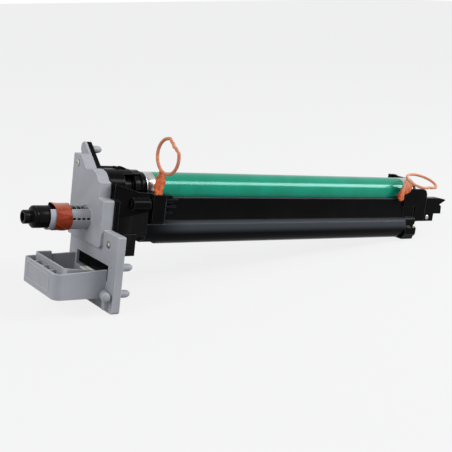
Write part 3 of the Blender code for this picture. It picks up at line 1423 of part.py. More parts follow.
front_cover()
sill_bar()
cover_screw("cover_screw_upper", COVER_SCREW_AXES[0], 0.0)
cover_screw("cover_screw_lower", COVER_SCREW_AXES[1], PLATE_STEP)
outlet_cap()
outlet_spring()
outlet_tape()
waste_pipe()
front_end_frame()
front_bush()
drum_tube()
drum_flange_front()
drum_flange_rear()
rear_bush()
auger_drive_gear()
auger_gear()
waste_auger()
drive_bearing()
waste_housing()
blade_bracket()
cleaning_blade()
blade_screw("blade_screw_front", BLADE_SCREW_XS[0])
blade_screw("blade_screw_rear", BLADE_SCREW_XS[1])
recovery_sheet()
end_seal("end_seal_front", 50.0 * MM, 54.8 * MM)
end_seal("end_seal_rear", 377.2 * MM, 380.8 * MM)
charge_housing()
charge_bearing("charge_bearing_front", CARRIAGE_XS[0])
charge_bearing("charge_bearing_rear", CARRIAGE_XS[1])
charge_spring("charge_spring_front", CARRIAGE_XS[0])
charge_spring("charge_spring_rear", CARRIAGE_XS[1])
roller("charge_roller", CHARGE_AXIS, CHARGE_R, CHARGE_SHAFT_R + GAP, RUBBER, 28)
roller_shaft("charge_shaft", CHARGE_AXIS, CHARGE_SHAFT_R, 20)
roller("cleaning_roller", CLEANER_AXIS, CLEANER_R, CLEANER_SHAFT_R + GAP, FOAM, 20)
roller_shaft("cleaner_shaft", CLEANER_AXIS, CLEANER_SHAFT_R, 12)
rear_end_frame()
rear_cover()
rear_screw("case_screw", REAR_SCREWS[0], 2.6 * MM)
rear_screw("foot_screw", REAR_SCREWS[1], 2.0 * MM)
pull_tab_front()
pull_tab_rear()
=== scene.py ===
import json
import math

import bmesh
import bpy
from mathutils import Matrix, Vector


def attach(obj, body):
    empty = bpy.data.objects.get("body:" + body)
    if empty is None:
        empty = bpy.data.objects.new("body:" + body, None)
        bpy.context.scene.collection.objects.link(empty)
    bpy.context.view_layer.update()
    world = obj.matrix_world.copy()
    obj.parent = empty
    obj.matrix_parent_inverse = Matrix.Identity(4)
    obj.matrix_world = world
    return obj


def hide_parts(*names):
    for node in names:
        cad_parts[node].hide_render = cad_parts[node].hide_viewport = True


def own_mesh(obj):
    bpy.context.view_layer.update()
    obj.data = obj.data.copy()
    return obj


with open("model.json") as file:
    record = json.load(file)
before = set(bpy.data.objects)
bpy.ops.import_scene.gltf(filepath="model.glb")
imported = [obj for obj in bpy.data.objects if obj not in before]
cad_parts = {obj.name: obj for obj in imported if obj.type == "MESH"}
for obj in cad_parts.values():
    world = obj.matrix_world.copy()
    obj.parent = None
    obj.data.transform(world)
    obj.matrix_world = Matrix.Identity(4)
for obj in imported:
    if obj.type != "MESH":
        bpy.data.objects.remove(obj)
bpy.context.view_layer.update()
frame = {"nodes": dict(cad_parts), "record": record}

# Camera
# It stands to the left of the cover, a little above it, and looks along the drum.
camera_data = bpy.data.cameras.new("camera")
camera_data.lens = 72.87
camera_data.sensor_width = 36.0
camera = bpy.data.objects.new("camera", camera_data)
bpy.context.scene.collection.objects.link(camera)
camera_place = Matrix.Translation((-0.37372, -0.73261, 0.13611))
camera_right = Vector((0.81844248, -0.56245018, 0.11748067))
camera_down = Vector((-0.01304017, -0.22258987, -0.97482496))
camera_ahead = Vector((0.57444048, 0.79630619, -0.18951145))
camera_turn = Matrix((camera_right, -camera_down, -camera_ahead)).transposed().to_4x4()
camera.matrix_world = camera_place @ camera_turn
bpy.context.scene.camera = camera


# Grey front cover
# Injection-moulded ABS with a fine spark-eroded surface: plate, ear, handle pocket, outlet sleeve and three
# bullet-nosed pins are one moulding, rubbed paler along its edges by handling and painted lighter there as a
# highlight.
MM = 0.001


def linear(hex_colour):
    channels = []
    for i in (0, 2, 4):
        value = int(hex_colour[i:i + 2], 16) / 255
        channels.append(value / 12.92 if value <= 0.04045 else ((value + 0.055) / 1.055) ** 2.4)
    return (*channels, 1.0)


def add(tree, kind, settings=None, values=None, links=None):
    """Add a node with its settings, socket values and links {socket: (node, output)}."""
    node = tree.nodes.new(kind)
    for key, value in (settings or {}).items():
        setattr(node, key, value)
    for key, value in (values or {}).items():
        node.inputs[key].default_value = value
    for key, (source, output) in (links or {}).items():
        tree.links.new(source.outputs[output], node.inputs[key])
    return node


def new_material(name, **sockets):
    mat = bpy.data.materials.new(name)
    mat.use_nodes = True
    shader = mat.node_tree.nodes["Principled BSDF"]
    for key, value in sockets.items():
        shader.inputs[key.replace("_", " ")].default_value = value
    return mat, mat.node_tree, shader


def ramp(tree, source, output, stops):
    """Colour ramp of (position, sRGB hex) stops."""
    node = add(tree, "ShaderNodeValToRGB", None, None, {"Fac": (source, output)})
    elements = node.color_ramp.elements
    while len(elements) < len(stops):
        elements.new(0.5)
    for element, (position, colour) in zip(elements, stops):
        element.position = position
        element.color = linear(colour)
    return node


def noise(tree, place, scale, detail, roughness=0.5):
    return add(tree, "ShaderNodeTexNoise", None, {"Scale": scale, "Detail": detail, "Roughness": roughness},
               {"Vector": (place, "Object")})


def tinted(tree, under, share, over):
    """Colour over, an sRGB hex, mixed into under by a share; under and share are (node, output) pairs."""
    mix = add(tree, "ShaderNodeMix", {"data_type": "RGBA"}, {7: linear(over)}, {0: share, 6: under})
    return mix, 2


def polished(tree, shader, marks, dull, bright):
    """Roughness that falls from dull to bright as the marks rise."""
    gloss = add(tree, "ShaderNodeMapRange", None,
                {"From Min": 0.3, "From Max": 0.7, "To Min": dull, "To Max": bright},
                {"Value": (marks, "Fac")})
    tree.links.new(gloss.outputs["Result"], shader.inputs["Roughness"])


def embossed(tree, shader, height, strength, depth_mm, **links):
    """Bump from a texture's height on the shader's normal."""
    bump = add(tree, "ShaderNodeBump", None, {"Strength": strength, "Distance": depth_mm * MM},
               {"Height": (height, "Fac"), **links})
    tree.links.new(bump.outputs["Normal"], shader.inputs["Normal"])


def coloured(tree, shader, colour):
    tree.links.new(colour[0].outputs[colour[1]], shader.inputs["Base Color"])


def moulded_plastic(name, colour, marked, rubbed_and_highlight, roughness, specular, grain_mm, grain, edge_mm):
    """Moulded thermoplastic: faint handling marks, eroded grain, small radii rubbed paler and painted lighter as
    a highlight.
    """
    mat, tree, shader = new_material(name, Specular_IOR_Level=specular)
    place = add(tree, "ShaderNodeTexCoord")
    marks = noise(tree, place, 38.0, 6.0, 0.62)
    tone = ramp(tree, marks, "Fac", ((0.35, marked), (0.62, colour)))
    edges = add(tree, "ShaderNodeBevel", {"samples": 6}, {"Radius": edge_mm * MM})
    facing = add(tree, "ShaderNodeNewGeometry")
    turn = add(tree, "ShaderNodeVectorMath", {"operation": "DOT_PRODUCT"}, None,
               {0: (edges, "Normal"), 1: (facing, "Normal")})
    # Painted highlight: the rounded edges are painted towards the rubbed colour, partly wear and partly light
    # caught there.
    rub_and_highlight = add(tree, "ShaderNodeMapRange", None,
               {"From Min": 0.995, "From Max": 0.9, "To Min": 0.0, "To Max": 1.0}, {"Value": (turn, "Value")})
    coloured(tree, shader, tinted(tree, (tone, "Color"), (rub_and_highlight, "Result"), rubbed_and_highlight))
    polished(tree, shader, marks, roughness + 0.08, roughness - 0.05)
    embossed(tree, shader, noise(tree, place, 1000.0 / grain_mm, 2.0), grain, 0.1, Normal=(edges, "Normal"))
    return mat


def body_of(node):
    for body, nodes in frame["record"]["behaviour"]["bodies"].items():
        if node in nodes:
            return body
    return "frame"


def linked_object(name, data):
    piece = bpy.data.objects.new(name, data)
    bpy.context.scene.collection.objects.link(piece)
    return piece


def object_from(name, bm):
    """Object with the mesh that was built in bm."""
    mesh = bpy.data.meshes.new(name)
    bm.to_mesh(mesh)
    bm.free()
    return linked_object(name, mesh)


def flattened(piece):
    """Replace the piece's mesh by the result of its modifiers, and drop the modifiers."""
    bpy.context.view_layer.update()
    result = bpy.data.meshes.new_from_object(piece.evaluated_get(bpy.context.evaluated_depsgraph_get()))
    piece.modifiers.clear()
    piece.data = result
    return piece


ROUND_ANGLE = 38.0


def fair_shading(piece, round_angle=ROUND_ANGLE):
    """Smooth shading on the curved faces, flat shading on the large ones, sharp edges kept."""
    piece.data.shade_smooth()
    piece.data.set_sharp_from_angle(angle=math.radians(round_angle))
    piece.modifiers.new("shading", "WEIGHTED_NORMAL").keep_sharp = True
    return flattened(piece)


def settle(piece, mat, body, slot, *nodes):
    """Give the piece its only material and its body, and let it stand for CAD nodes, which it hides; the slot is
    not used.
    """
    piece.data.materials.clear()
    piece.data.materials.append(mat)
    if nodes:
        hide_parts(*nodes)
    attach(piece, body)
    return piece


WELD_MM = 0.002
FLAT_ANGLE = 0.4


def moulding(node, mat, slot):
    """Merged copy of a CAD node that stands for it."""
    piece = linked_object(node + "_skin", frame["nodes"][node].data.copy())
    bm = bmesh.new()
    bm.from_mesh(piece.data)
    bmesh.ops.remove_doubles(bm, verts=bm.verts, dist=WELD_MM * MM)
    bmesh.ops.dissolve_limit(bm, angle_limit=math.radians(FLAT_ANGLE), verts=bm.verts, edges=bm.edges)
    bm.to_mesh(piece.data)
    bm.free()
    fair_shading(piece)
    return settle(piece, mat, body_of(node), slot, node)


def blocks(name, corners):
    """Separate blocks as one object, from (low corner, high corner) pairs in mm."""
    bm = bmesh.new()
    for low, high in corners:
        size = [(b - a) * MM for a, b in zip(low, high)]
        middle = [(a + b) / 2 * MM for a, b in zip(low, high)]
        bmesh.ops.create_cube(bm, size=1.0, matrix=Matrix.Translation(middle) @ Matrix.Diagonal((*size, 1.0)))
    return object_from(name, bm)


def carved(piece, tool, operation="DIFFERENCE"):
    """Cut the tool out of the piece, or add it, and discard the tool."""
    modifier = piece.modifiers.new("cut", "BOOLEAN")
    modifier.operation = operation
    modifier.solver = "EXACT"
    modifier.object = tool
    flattened(piece)
    bpy.data.objects.remove(tool)
    return fair_shading(piece)


GREY_ABS = moulded_plastic("grey_abs_spark_eroded", colour="9c9ea4", marked="95979d", rubbed_and_highlight="c9cbcf",
                           roughness=0.5, specular=0.35, grain_mm=0.6, grain=0.2, edge_mm=0.8)
cover = moulding("front_cover", GREY_ABS, "grey_abs")

SLIT_COUNT = 4
SLIT_PITCH = 4.7
THINNED_WALL = ((-19.6, -8.0, -30.3), (-0.4, -5.5, -25.4))
slits = []
for i in range(SLIT_COUNT):
    slits.append(((-5.0 - SLIT_PITCH * i, -10.0, -29.05), (-0.8 - SLIT_PITCH * i, -6.9, -26.6)))
carved(cover, blocks("slit_tool", slits + [THINNED_WALL]))


# Ribs of the handle pocket
# Three thin ribs between the pocket's outer wall and its inner wall, moulded with the cover.
def new_tree(name, sizes):
    """Geometry Nodes tree with the named sizes as inputs, besides its material."""
    tree = bpy.data.node_groups.new(name, "GeometryNodeTree")
    for label, kind in sizes.items():
        tree.interface.new_socket(label, in_out="INPUT", socket_type="NodeSocket" + kind)
    tree.interface.new_socket("Material", in_out="INPUT", socket_type="NodeSocketMaterial")
    tree.interface.new_socket("Geometry", in_out="OUTPUT", socket_type="NodeSocketGeometry")
    return tree, tree.nodes.new("NodeGroupInput")


def close_tree(tree, sizes, *parts):
    joined = add(tree, "GeometryNodeJoinGeometry")
    for source, output in parts:
        tree.links.new(source.outputs[output], joined.inputs[0])
    real = add(tree, "GeometryNodeRealizeInstances", None, None, {0: (joined, 0)})
    coated = add(tree, "GeometryNodeSetMaterial", None, None,
                 {"Geometry": (real, 0), "Material": (sizes, "Material")})
    add(tree, "NodeGroupOutput", None, None, {"Geometry": (coated, "Geometry")})


def grown(name, tree, mat, place, values, round_angle=ROUND_ANGLE):
    """Plain mesh grown from a tree about the Z axis, then placed by a matrix."""
    piece = linked_object(name, bpy.data.meshes.new(name))
    modifier = piece.modifiers.new("shape", "NODES")
    modifier.node_group = tree
    for item in tree.interface.items_tree:
        if item.in_out == "INPUT":
            modifier[item.identifier] = mat if item.name == "Material" else values[item.name]
    flattened(piece)
    bm = bmesh.new()
    bm.from_mesh(piece.data)
    bmesh.ops.recalc_face_normals(bm, faces=bm.faces)
    bm.to_mesh(piece.data)
    bm.free()
    piece.data.transform(place)
    return fair_shading(piece, round_angle)


def row_tree():
    """Row of equal bars along Y."""
    tree, sizes = new_tree("row_of_ribs", {"Count": "Int", "Step": "Vector", "Size": "Vector"})
    line = add(tree, "GeometryNodeMeshLine", {"mode": "OFFSET"}, None,
               {"Count": (sizes, "Count"), "Offset": (sizes, "Step")})
    bar = add(tree, "GeometryNodeMeshCube", None, None, {"Size": (sizes, "Size")})
    row = add(tree, "GeometryNodeInstanceOnPoints", None, None, {"Points": (line, 0), "Instance": (bar, 0)})
    close_tree(tree, sizes, (row, 0))
    return tree


ribs = grown("pocket_ribs", row_tree(), GREY_ABS, Matrix.Translation((-40.0 * MM, -19.4 * MM, -81.3 * MM)), {
    "Count": 3, "Step": (0.0, 16.0 * MM, 0.0), "Size": (9.2 * MM, 1.3 * MM, 21.9 * MM)})
settle(ribs, GREY_ABS, "frame", "grey_abs")


# Panel line of the handle pocket
# Low raised border on the pocket's outer wall, moulded with the cover, its edges eased so that it lifts from
# the tool.
POCKET_WALL_X = -45.5
BORDER_ROOT = 0.2
BORDER_EASE = 0.25


def closed_faces(bm, rings):
    """Faces between each ring of vertices and the next one, and from the last ring back to the first."""
    faces = []
    for first, second in zip(rings, rings[1:] + rings[:1]):
        for k in range(len(first)):
            after = (k + 1) % len(first)
            faces.append(bm.faces.new((first[k], first[after], second[after], second[k])))
    return faces


def border(name, corners, width, proud):
    """Raised border on a face of constant X from its outer (y, z) corners in mm; it stands towards -X."""
    middle_y = sum(y for y, z in corners) / len(corners)
    middle_z = sum(z for y, z in corners) / len(corners)
    bm = bmesh.new()
    rings = []
    for inset, height in (
        (0.0, -BORDER_ROOT), (BORDER_EASE, proud), (width - BORDER_EASE, proud), (width, -BORDER_ROOT),
    ):
        ring = []
        for y, z in corners:
            y += math.copysign(inset, middle_y - y)
            z += math.copysign(inset, middle_z - z)
            ring.append(bm.verts.new(Vector((POCKET_WALL_X - height, y, z)) * MM))
        rings.append(ring)
    closed_faces(bm, rings)
    bmesh.ops.recalc_face_normals(bm, faces=bm.faces)
    return object_from(name, bm)


panel = border("pocket_border", ((21.0, -71.8), (-27.5, -72.6), (-27.5, -88.2), (21.0, -88.6)),
               width=1.5, proud=0.5)
settle(panel, GREY_ABS, "frame", "grey_abs")


# Knuckle under the handle pocket
# Round boss that the machine's lever catches, moulded with the cover's plate.
def turned_shape(name, profile, centre, sides):
    """Closed solid of revolution about an X line, from (x, radius) points in mm round its section."""
    bm = bmesh.new()
    rings = []
    for x, radius in profile:
        ring = []
        for k in range(sides if radius > 0.0 else 1):
            turn = 2 * math.pi * k / sides
            ring.append(bm.verts.new(Vector((
                x, centre[0] + radius * math.cos(turn), centre[1] + radius * math.sin(turn))) * MM))
        rings.append(ring)
    for first, second in zip(rings, rings[1:] + rings[:1]):
        for k in range(sides):
            corners = []
            for ring, place in ((first, k), (first, k + 1), (second, k + 1), (second, k)):
                corner = ring[place % len(ring)]
                if corner not in corners:
                    corners.append(corner)
            if len(corners) > 2:
                bm.faces.new(corners)
    bmesh.ops.recalc_face_normals(bm, faces=bm.faces)
    return fair_shading(object_from(name, bm), 40.0)


knuckle = turned_shape("knuckle_barrel", [
    (-6.4, 0.0), (-6.4, 2.6), (-5.8, 3.6), (-4.9, 4.2), (-3.8, 4.4), (5.0, 4.4), (5.6, 4.1), (6.0, 3.6),
    (6.0, 0.0),
], (0.0, 0.0), 40)
knuckle_place = Matrix.Translation(Vector((-0.5, -47.6, -88.3)) * MM)
knuckle.data.transform(knuckle_place @ Matrix.Rotation(math.radians(70), 4, "Z"))
settle(knuckle, GREY_ABS, "frame", "grey_abs")


# Screws
# Zinc-plated steel: bright, slightly yellow where the plating is thick, with fine turned marks. Pan heads
# with a cross recess hold the cover, slotted heads hold the blade's bracket, the gear case and the rear foot.
def bright_metal(name, colour, roughness, lines_mm, depth):
    """Bare metal with fine machining lines across the X axis and slightly darker stains."""
    mat, tree, shader = new_material(name, Metallic=1.0)
    place = add(tree, "ShaderNodeTexCoord")
    lines = add(tree, "ShaderNodeTexWave", {"wave_type": "BANDS", "bands_direction": "X"},
                {"Scale": 50.0 / lines_mm, "Distortion": 1.5, "Detail": 2.0}, {"Vector": (place, "Object")})
    stain = noise(tree, place, 90.0, 4.0)
    red, green, blue, _ = linear(colour)
    tone = ramp(tree, stain, "Fac", ((0.3, colour), (0.6, colour)))
    tone.color_ramp.elements[0].color = (red * 0.82, green * 0.8, blue * 0.78, 1.0)
    coloured(tree, shader, (tone, "Color"))
    polished(tree, shader, stain, roughness + 0.06, roughness - 0.04)
    embossed(tree, shader, lines, depth, 0.05)
    return mat


def calc(tree, operation, first, second=0.0):
    """Result of a math node as a (node, output) pair; each operand is a number or such a pair."""
    node = add(tree, "ShaderNodeMath", {"operation": operation})
    for socket, operand in zip(node.inputs, (first, second)):
        if isinstance(operand, tuple):
            tree.links.new(operand[0].outputs[operand[1]], socket)
        else:
            socket.default_value = operand
    return node, 0


def along_z(tree, length):
    return add(tree, "ShaderNodeCombineXYZ", None, None, {"Z": length}), 0


def shifted(tree, shape, length):
    """Shape moved along Z; shape and length are (node, output) pairs."""
    return add(tree, "GeometryNodeTransform", None, None,
               {"Geometry": shape, "Translation": along_z(tree, length)}), 0


def swept(tree, curve, profile):
    return add(tree, "GeometryNodeCurveToMesh", None, {"Fill Caps": True},
               {"Curve": (curve, 0), "Profile Curve": (profile, 0)}), 0


def screw_tree():
    """Screw along Z with its seat at the origin: domed head above it, recess of one or two arms, thread."""
    tree, sizes = new_tree("machine_screw", {
        "Head Radius": "Float", "Head Height": "Float", "Shank Radius": "Float", "Length": "Float",
        "Thread Pitch": "Float", "Recess Arms": "Int", "Recess Size": "Vector"})
    head_radius, head_height = (sizes, "Head Radius"), (sizes, "Head Height")
    shank_radius, length, pitch = (sizes, "Shank Radius"), (sizes, "Length"), (sizes, "Thread Pitch")
    blank = add(tree, "GeometryNodeMeshCylinder", None,
                {"Vertices": 40, "Side Segments": 2, "Fill Segments": 6},
                {"Radius": head_radius, "Depth": head_height})
    raised = shifted(tree, (blank, 0), calc(tree, "MULTIPLY", head_height, 0.5))
    at = add(tree, "GeometryNodeInputPosition")
    split = add(tree, "ShaderNodeSeparateXYZ", None, None, {0: (at, 0)})
    flat = add(tree, "ShaderNodeCombineXYZ", None, None, {"X": (split, "X"), "Y": (split, "Y")})
    away = add(tree, "ShaderNodeVectorMath", {"operation": "LENGTH"}, None, {0: (flat, 0)})
    share = calc(tree, "DIVIDE", (away, "Value"), head_radius)
    drop = calc(tree, "MULTIPLY", calc(tree, "POWER", share, 3.0), calc(tree, "MULTIPLY", head_height, -0.45))
    top = calc(tree, "GREATER_THAN", (split, "Z"), calc(tree, "MULTIPLY", head_height, 0.95))
    dome = add(tree, "GeometryNodeSetPosition", None, None,
               {"Geometry": raised, "Selection": top, "Offset": along_z(tree, drop)})
    points = add(tree, "GeometryNodePoints", None, None,
                 {"Count": (sizes, "Recess Arms"), "Position": along_z(tree, head_height)})
    index = add(tree, "GeometryNodeInputIndex")
    quarter = calc(tree, "MULTIPLY", (index, 0), math.pi / 2)
    arm = add(tree, "GeometryNodeMeshCube", None, None, {"Size": (sizes, "Recess Size")})
    arms = add(tree, "GeometryNodeInstanceOnPoints", None, None,
               {"Points": (points, 0), "Instance": (arm, 0), "Rotation": along_z(tree, quarter)})
    head = add(tree, "GeometryNodeMeshBoolean", {"operation": "DIFFERENCE", "solver": "EXACT"},
               {"Self Intersection": True}, {"Mesh 1": (dome, 0), "Mesh 2": (arms, 0)})
    shank = add(tree, "GeometryNodeMeshCylinder", None, {"Vertices": 20},
                {"Radius": shank_radius, "Depth": length})
    lowered = shifted(tree, (shank, 0), calc(tree, "MULTIPLY", length, -0.5))
    reach = calc(tree, "MULTIPLY", length, -0.9)
    turns = calc(tree, "ABSOLUTE", calc(tree, "DIVIDE", reach, pitch))
    helix = add(tree, "GeometryNodeCurveSpiral", None, {"Resolution": 18},
                {"Rotations": turns, "Start Radius": shank_radius, "End Radius": shank_radius,
                 "Height": reach})
    crest = add(tree, "GeometryNodeCurvePrimitiveCircle", None, {"Resolution": 3},
                {"Radius": calc(tree, "MULTIPLY", pitch, 0.3)})
    close_tree(tree, sizes, (head, 0), lowered, swept(tree, helix, crest))
    return tree


ZINC = bright_metal("zinc_plated_steel", colour="b0aea6", roughness=0.3, lines_mm=0.4, depth=0.1)
SCREW = screw_tree()
FACING_FRONT = Matrix.Rotation(math.radians(-90), 4, "Y")
FACING_SIDE = Matrix.Rotation(math.radians(90), 4, "X")
FACING_UP = Matrix()
SHANK_R = 1.25
THREAD_PITCH = 0.7


def screw(node, seat, turn, head_r, length, arms):
    """Screw with its seat at an (x, y, z) point in mm: two arms are a cross recess, one is a slot."""
    height, across = (1.8, 1.1) if arms == 2 else (1.6, 2.4)
    piece = grown(node + "_metal", SCREW, ZINC, Matrix.Translation(Vector(seat) * MM) @ turn, {
        "Head Radius": head_r * MM, "Head Height": height * MM, "Shank Radius": SHANK_R * MM,
        "Length": length * MM, "Thread Pitch": THREAD_PITCH * MM, "Recess Arms": arms,
        "Recess Size": (head_r * across * MM, 0.6 * MM, 1.7 * MM)}, 30.0)
    settle(piece, ZINC, "frame", "zinc_plated_steel", node)


screw("cover_screw_upper", (0.5, 28.6, 17.3), FACING_FRONT, head_r=3.0, length=8.6, arms=2)
screw("cover_screw_lower", (4.0, -37.8, -44.7), FACING_FRONT, head_r=3.0, length=8.6, arms=2)
screw("blade_screw_front", (64.0, 24.0, -16.5), FACING_UP, head_r=3.0, length=7.0, arms=1)
screw("blade_screw_rear", (368.0, 24.0, -16.5), FACING_UP, head_r=3.0, length=7.0, arms=1)
screw("case_screw", (419.9, -21.5, -26.3), FACING_SIDE, head_r=2.6, length=7.0, arms=1)
screw("foot_screw", (394.9, -27.1, -35.4), FACING_SIDE, head_r=2.0, length=7.0, arms=1)


# Toner outlet cap
# Black acetal cup turned smooth, that slides on the outlet pipe: hollow nose, domed face, ring grooves, a
# port window underneath and a key that runs in the sleeve's slot.
AUGER_AXIS = (3.2, -27.8165)
BLACK_ACETAL = moulded_plastic("black_acetal", colour="0a0a0b", marked="0e0e0f", rubbed_and_highlight="2e2f32",
                               roughness=0.22, specular=0.06, grain_mm=0.8, grain=0.04, edge_mm=0.4)
cap = turned_shape("outlet_cap_skin", [
    (-55.0, 0.0), (-55.0, 4.2), (-61.0, 4.2), (-61.0, 5.7), (-60.6, 6.2), (-56.2, 6.2), (-55.9, 5.7),
    (-54.2, 5.7), (-53.9, 6.4), (-53.6, 7.6), (-53.2, 8.6), (-52.4, 9.6), (-51.6, 10.0), (-50.9, 10.1),
    (-49.7, 10.1), (-49.5, 9.6), (-48.7, 9.6), (-48.5, 10.1), (-40.4, 10.1), (-40.2, 9.75), (-39.6, 9.75),
    (-39.4, 10.1), (-20.8, 10.1), (-20.5, 9.8), (-20.5, 6.8), (-48.3, 6.8), (-48.3, 0.0),
], AUGER_AXIS, 72)
carved(cap, blocks("port_tool", [((-43.5, -0.3, -40.0), (-36.0, 6.7, -32.8))]))
carved(cap, blocks("key_tool", [((-30.0, 1.2, -18.9), (-20.5, 5.2, -16.35))]), "UNION")
settle(cap, BLACK_ACETAL, "outlet_shutter", "black_acetal", "outlet_cap")


# Coil springs
# Drawn spring steel with closed end turns. One pushes the outlet cap shut inside the sleeve, and one at each
# end presses the charge roller's bearings towards the drum.
def spring_tree():
    """Coil along Z from the origin whose pitch closes up at both ends."""
    tree, sizes = new_tree("coil_spring", {
        "Coil Radius": "Float", "Wire Radius": "Float", "Free Length": "Float", "Turns": "Float"})
    coil_radius, wire_radius, turns = (sizes, "Coil Radius"), (sizes, "Wire Radius"), (sizes, "Turns")
    circle = add(tree, "GeometryNodeCurveSpiral", None, {"Resolution": 20, "Height": 0.0},
                 {"Rotations": turns, "Start Radius": coil_radius, "End Radius": coil_radius})
    along = add(tree, "GeometryNodeSplineParameter")
    end = calc(tree, "DIVIDE", 0.8, turns)
    opened = add(tree, "ShaderNodeMapRange", None, None,
                 {"Value": (along, "Factor"), "From Min": end, "From Max": calc(tree, "SUBTRACT", 1.0, end)})
    closed = calc(tree, "MULTIPLY", calc(tree, "MULTIPLY", turns, wire_radius), 2.1)
    free = calc(tree, "SUBTRACT", (sizes, "Free Length"), closed)
    rise = calc(tree, "ADD", calc(tree, "MULTIPLY", (opened, "Result"), free),
                calc(tree, "MULTIPLY", (along, "Factor"), closed))
    coil = add(tree, "GeometryNodeSetPosition", None, None,
               {"Geometry": (circle, 0), "Offset": along_z(tree, rise)})
    wire = add(tree, "GeometryNodeCurvePrimitiveCircle", None, {"Resolution": 10}, {"Radius": wire_radius})
    close_tree(tree, sizes, swept(tree, coil, wire))
    return tree


SPRING_STEEL = bright_metal("drawn_spring_steel", colour="7a7a78", roughness=0.3, lines_mm=0.5, depth=0.05)
SPRING = spring_tree()
ALONG_X = Matrix.Rotation(math.radians(90), 4, "Y")
ALONG_Y = Matrix.Rotation(math.radians(-90), 4, "X")


def spring(node, start, turn, coil_r, wire_r, length, turns):
    """Spring that starts at an (x, y, z) point in mm."""
    piece = grown(node + "_coil", SPRING, SPRING_STEEL, Matrix.Translation(Vector(start) * MM) @ turn, {
        "Coil Radius": coil_r * MM, "Wire Radius": wire_r * MM, "Free Length": length * MM,
        "Turns": turns}, 60.0)
    return settle(piece, SPRING_STEEL, "frame", "spring_steel", node)


outlet_coil = spring("outlet_spring", (-19.7, *AUGER_AXIS), ALONG_X,
                     coil_r=8.5, wire_r=0.5, length=18.9, turns=5.4)
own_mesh(outlet_coil)
for node, x in (("charge_spring_front", 51.8), ("charge_spring_rear", 375.5)):
    coil = spring(node, (x, 28.4, -1.5), ALONG_Y, coil_r=2.0, wire_r=0.3, length=4.9, turns=4.5)
    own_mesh(coil)


# Transport tape on the outlet
# Orange adhesive film wound once round the sleeve: thin, glossy, creased where it was pulled tight, its end
# lying over its start. It is painted pale as light coming through where it bridges the sleeve's slot, and
# painted darker where it lies double on its lower -Y quarter: partly the double layer, partly painted shade,
# with a painted shadow line along the end's edge.
ORANGE_TAPE, tape_tree, tape_shader = new_material("orange_tape_film", Roughness=0.36,
                                                   Specular_IOR_Level=0.14)
tape_place = add(tape_tree, "ShaderNodeTexCoord")
tape_clouds = noise(tape_tree, tape_place, 160.0, 4.0, 0.55)
tape_deep = ramp(tape_tree, tape_clouds, "Fac", ((0.32, "7f2a10"), (0.5, "933418"), (0.68, "9d3d20")))
tape_lit_through = add(tape_tree, "ShaderNodeAttribute", {"attribute_name": "lit_through_slot"})
# Painted light: the film is painted pale where it bridges the slot, as light coming through.
tape_tone = tinted(tape_tree, (tape_deep, "Color"), (tape_lit_through, "Fac"), "b07a66")
tape_double_and_shade = add(tape_tree, "ShaderNodeAttribute", {"attribute_name": "doubled_and_shaded"})
# Painted darker where the film lies double: partly the double layer, partly painted shade and a painted shadow
# line.
coloured(tape_tree, tape_shader, tinted(tape_tree, tape_tone, (tape_double_and_shade, "Fac"), "64200a"))
embossed(tape_tree, tape_shader, tape_clouds, 0.15, 0.4)

TAPE_X = (-34.0, -19.0)
SLEEVE_R = 12.0
FILM_MM = 0.16
SLOT_TURN = 90.0
END_TURN = 176.0
END_SPAN = 70.0
CREASES = ((200.0, 36.0, 0.5), (186.0, -18.0, 0.3), (224.0, 44.0, 0.45), (150.0, 16.0, 0.2))
CREASE_WIDTH = 3.2
TAPE_TURNS = 120
TAPE_STEPS = 30


def over_slot(turn):
    """Share, 0 to 1, by which the film bridges the sleeve's slot at an angle in degrees (0 is +Y)."""
    return max(0.0, 1.0 - abs((turn - SLOT_TURN + 180.0) % 360.0 - 180.0) / 50.0)


def tape_point(turn, across, depth):
    """Point in mm that lies depth under the film's face, from an angle in degrees and 0 to 1 across."""
    bridge = over_slot(turn)
    loose = bridge * max(0.0, 1.0 - across / 0.35)
    x = TAPE_X[0] + (TAPE_X[1] - TAPE_X[0]) * across - 1.8 * loose
    x += 0.35 * math.sin(math.radians(3 * turn + 40)) * (1.0 - 2.0 * across)
    reach = SLEEVE_R + 2 * FILM_MM - depth + 0.7 * loose - 0.25 * bridge * math.sin(math.pi * across)
    past = (turn - END_TURN) % 360.0
    if past < END_SPAN:
        reach += 0.26 * min(1.0, past / 2.0)
    for start, lean, height in CREASES:
        away = (turn - start - lean * across + 180.0) % 360.0 - 180.0
        reach += height * math.exp(-(away / CREASE_WIDTH) ** 2)
    angle = math.radians(turn)
    return Vector((x, AUGER_AXIS[0] + reach * math.cos(angle), AUGER_AXIS[1] + reach * math.sin(angle)))


tape_bm = bmesh.new()
lit_through_slot = tape_bm.verts.layers.float.new("lit_through_slot")
doubled_and_shaded = tape_bm.verts.layers.float.new("doubled_and_shaded")
shells = []
for depth in (0.0, FILM_MM):
    shell = []
    for k in range(TAPE_TURNS):
        turn = 360.0 * k / TAPE_TURNS
        past = (turn - END_TURN) % 360.0
        row = []
        for j in range(TAPE_STEPS + 1):
            vert = tape_bm.verts.new(tape_point(turn, j / TAPE_STEPS, depth) * MM)
            # Shares for the painted light over the slot, and for the double layer with its painted shade and
            # shadow line.
            vert[lit_through_slot] = min(1.0, 1.2 * over_slot(turn))
            vert[doubled_and_shaded] = 0.95 if past < 4.0 else 0.3 if past < END_SPAN else 0.0
            row.append(vert)
        shell.append(row)
    shells.append(shell)
outer, inner = shells
for k in range(TAPE_TURNS):
    here, there = k, (k + 1) % TAPE_TURNS
    for j in range(TAPE_STEPS):
        for shell in shells:
            tape_bm.faces.new((shell[here][j], shell[there][j], shell[there][j + 1], shell[here][j + 1]))
    for j in (0, TAPE_STEPS):
        tape_bm.faces.new((outer[here][j], outer[there][j], inner[there][j], inner[here][j]))
bmesh.ops.recalc_face_normals(tape_bm, faces=tape_bm.faces)
tape = fair_shading(object_from("outlet_tape_film", tape_bm), 70.0)
settle(tape, ORANGE_TAPE, "frame", "orange_tape", "outlet_tape")
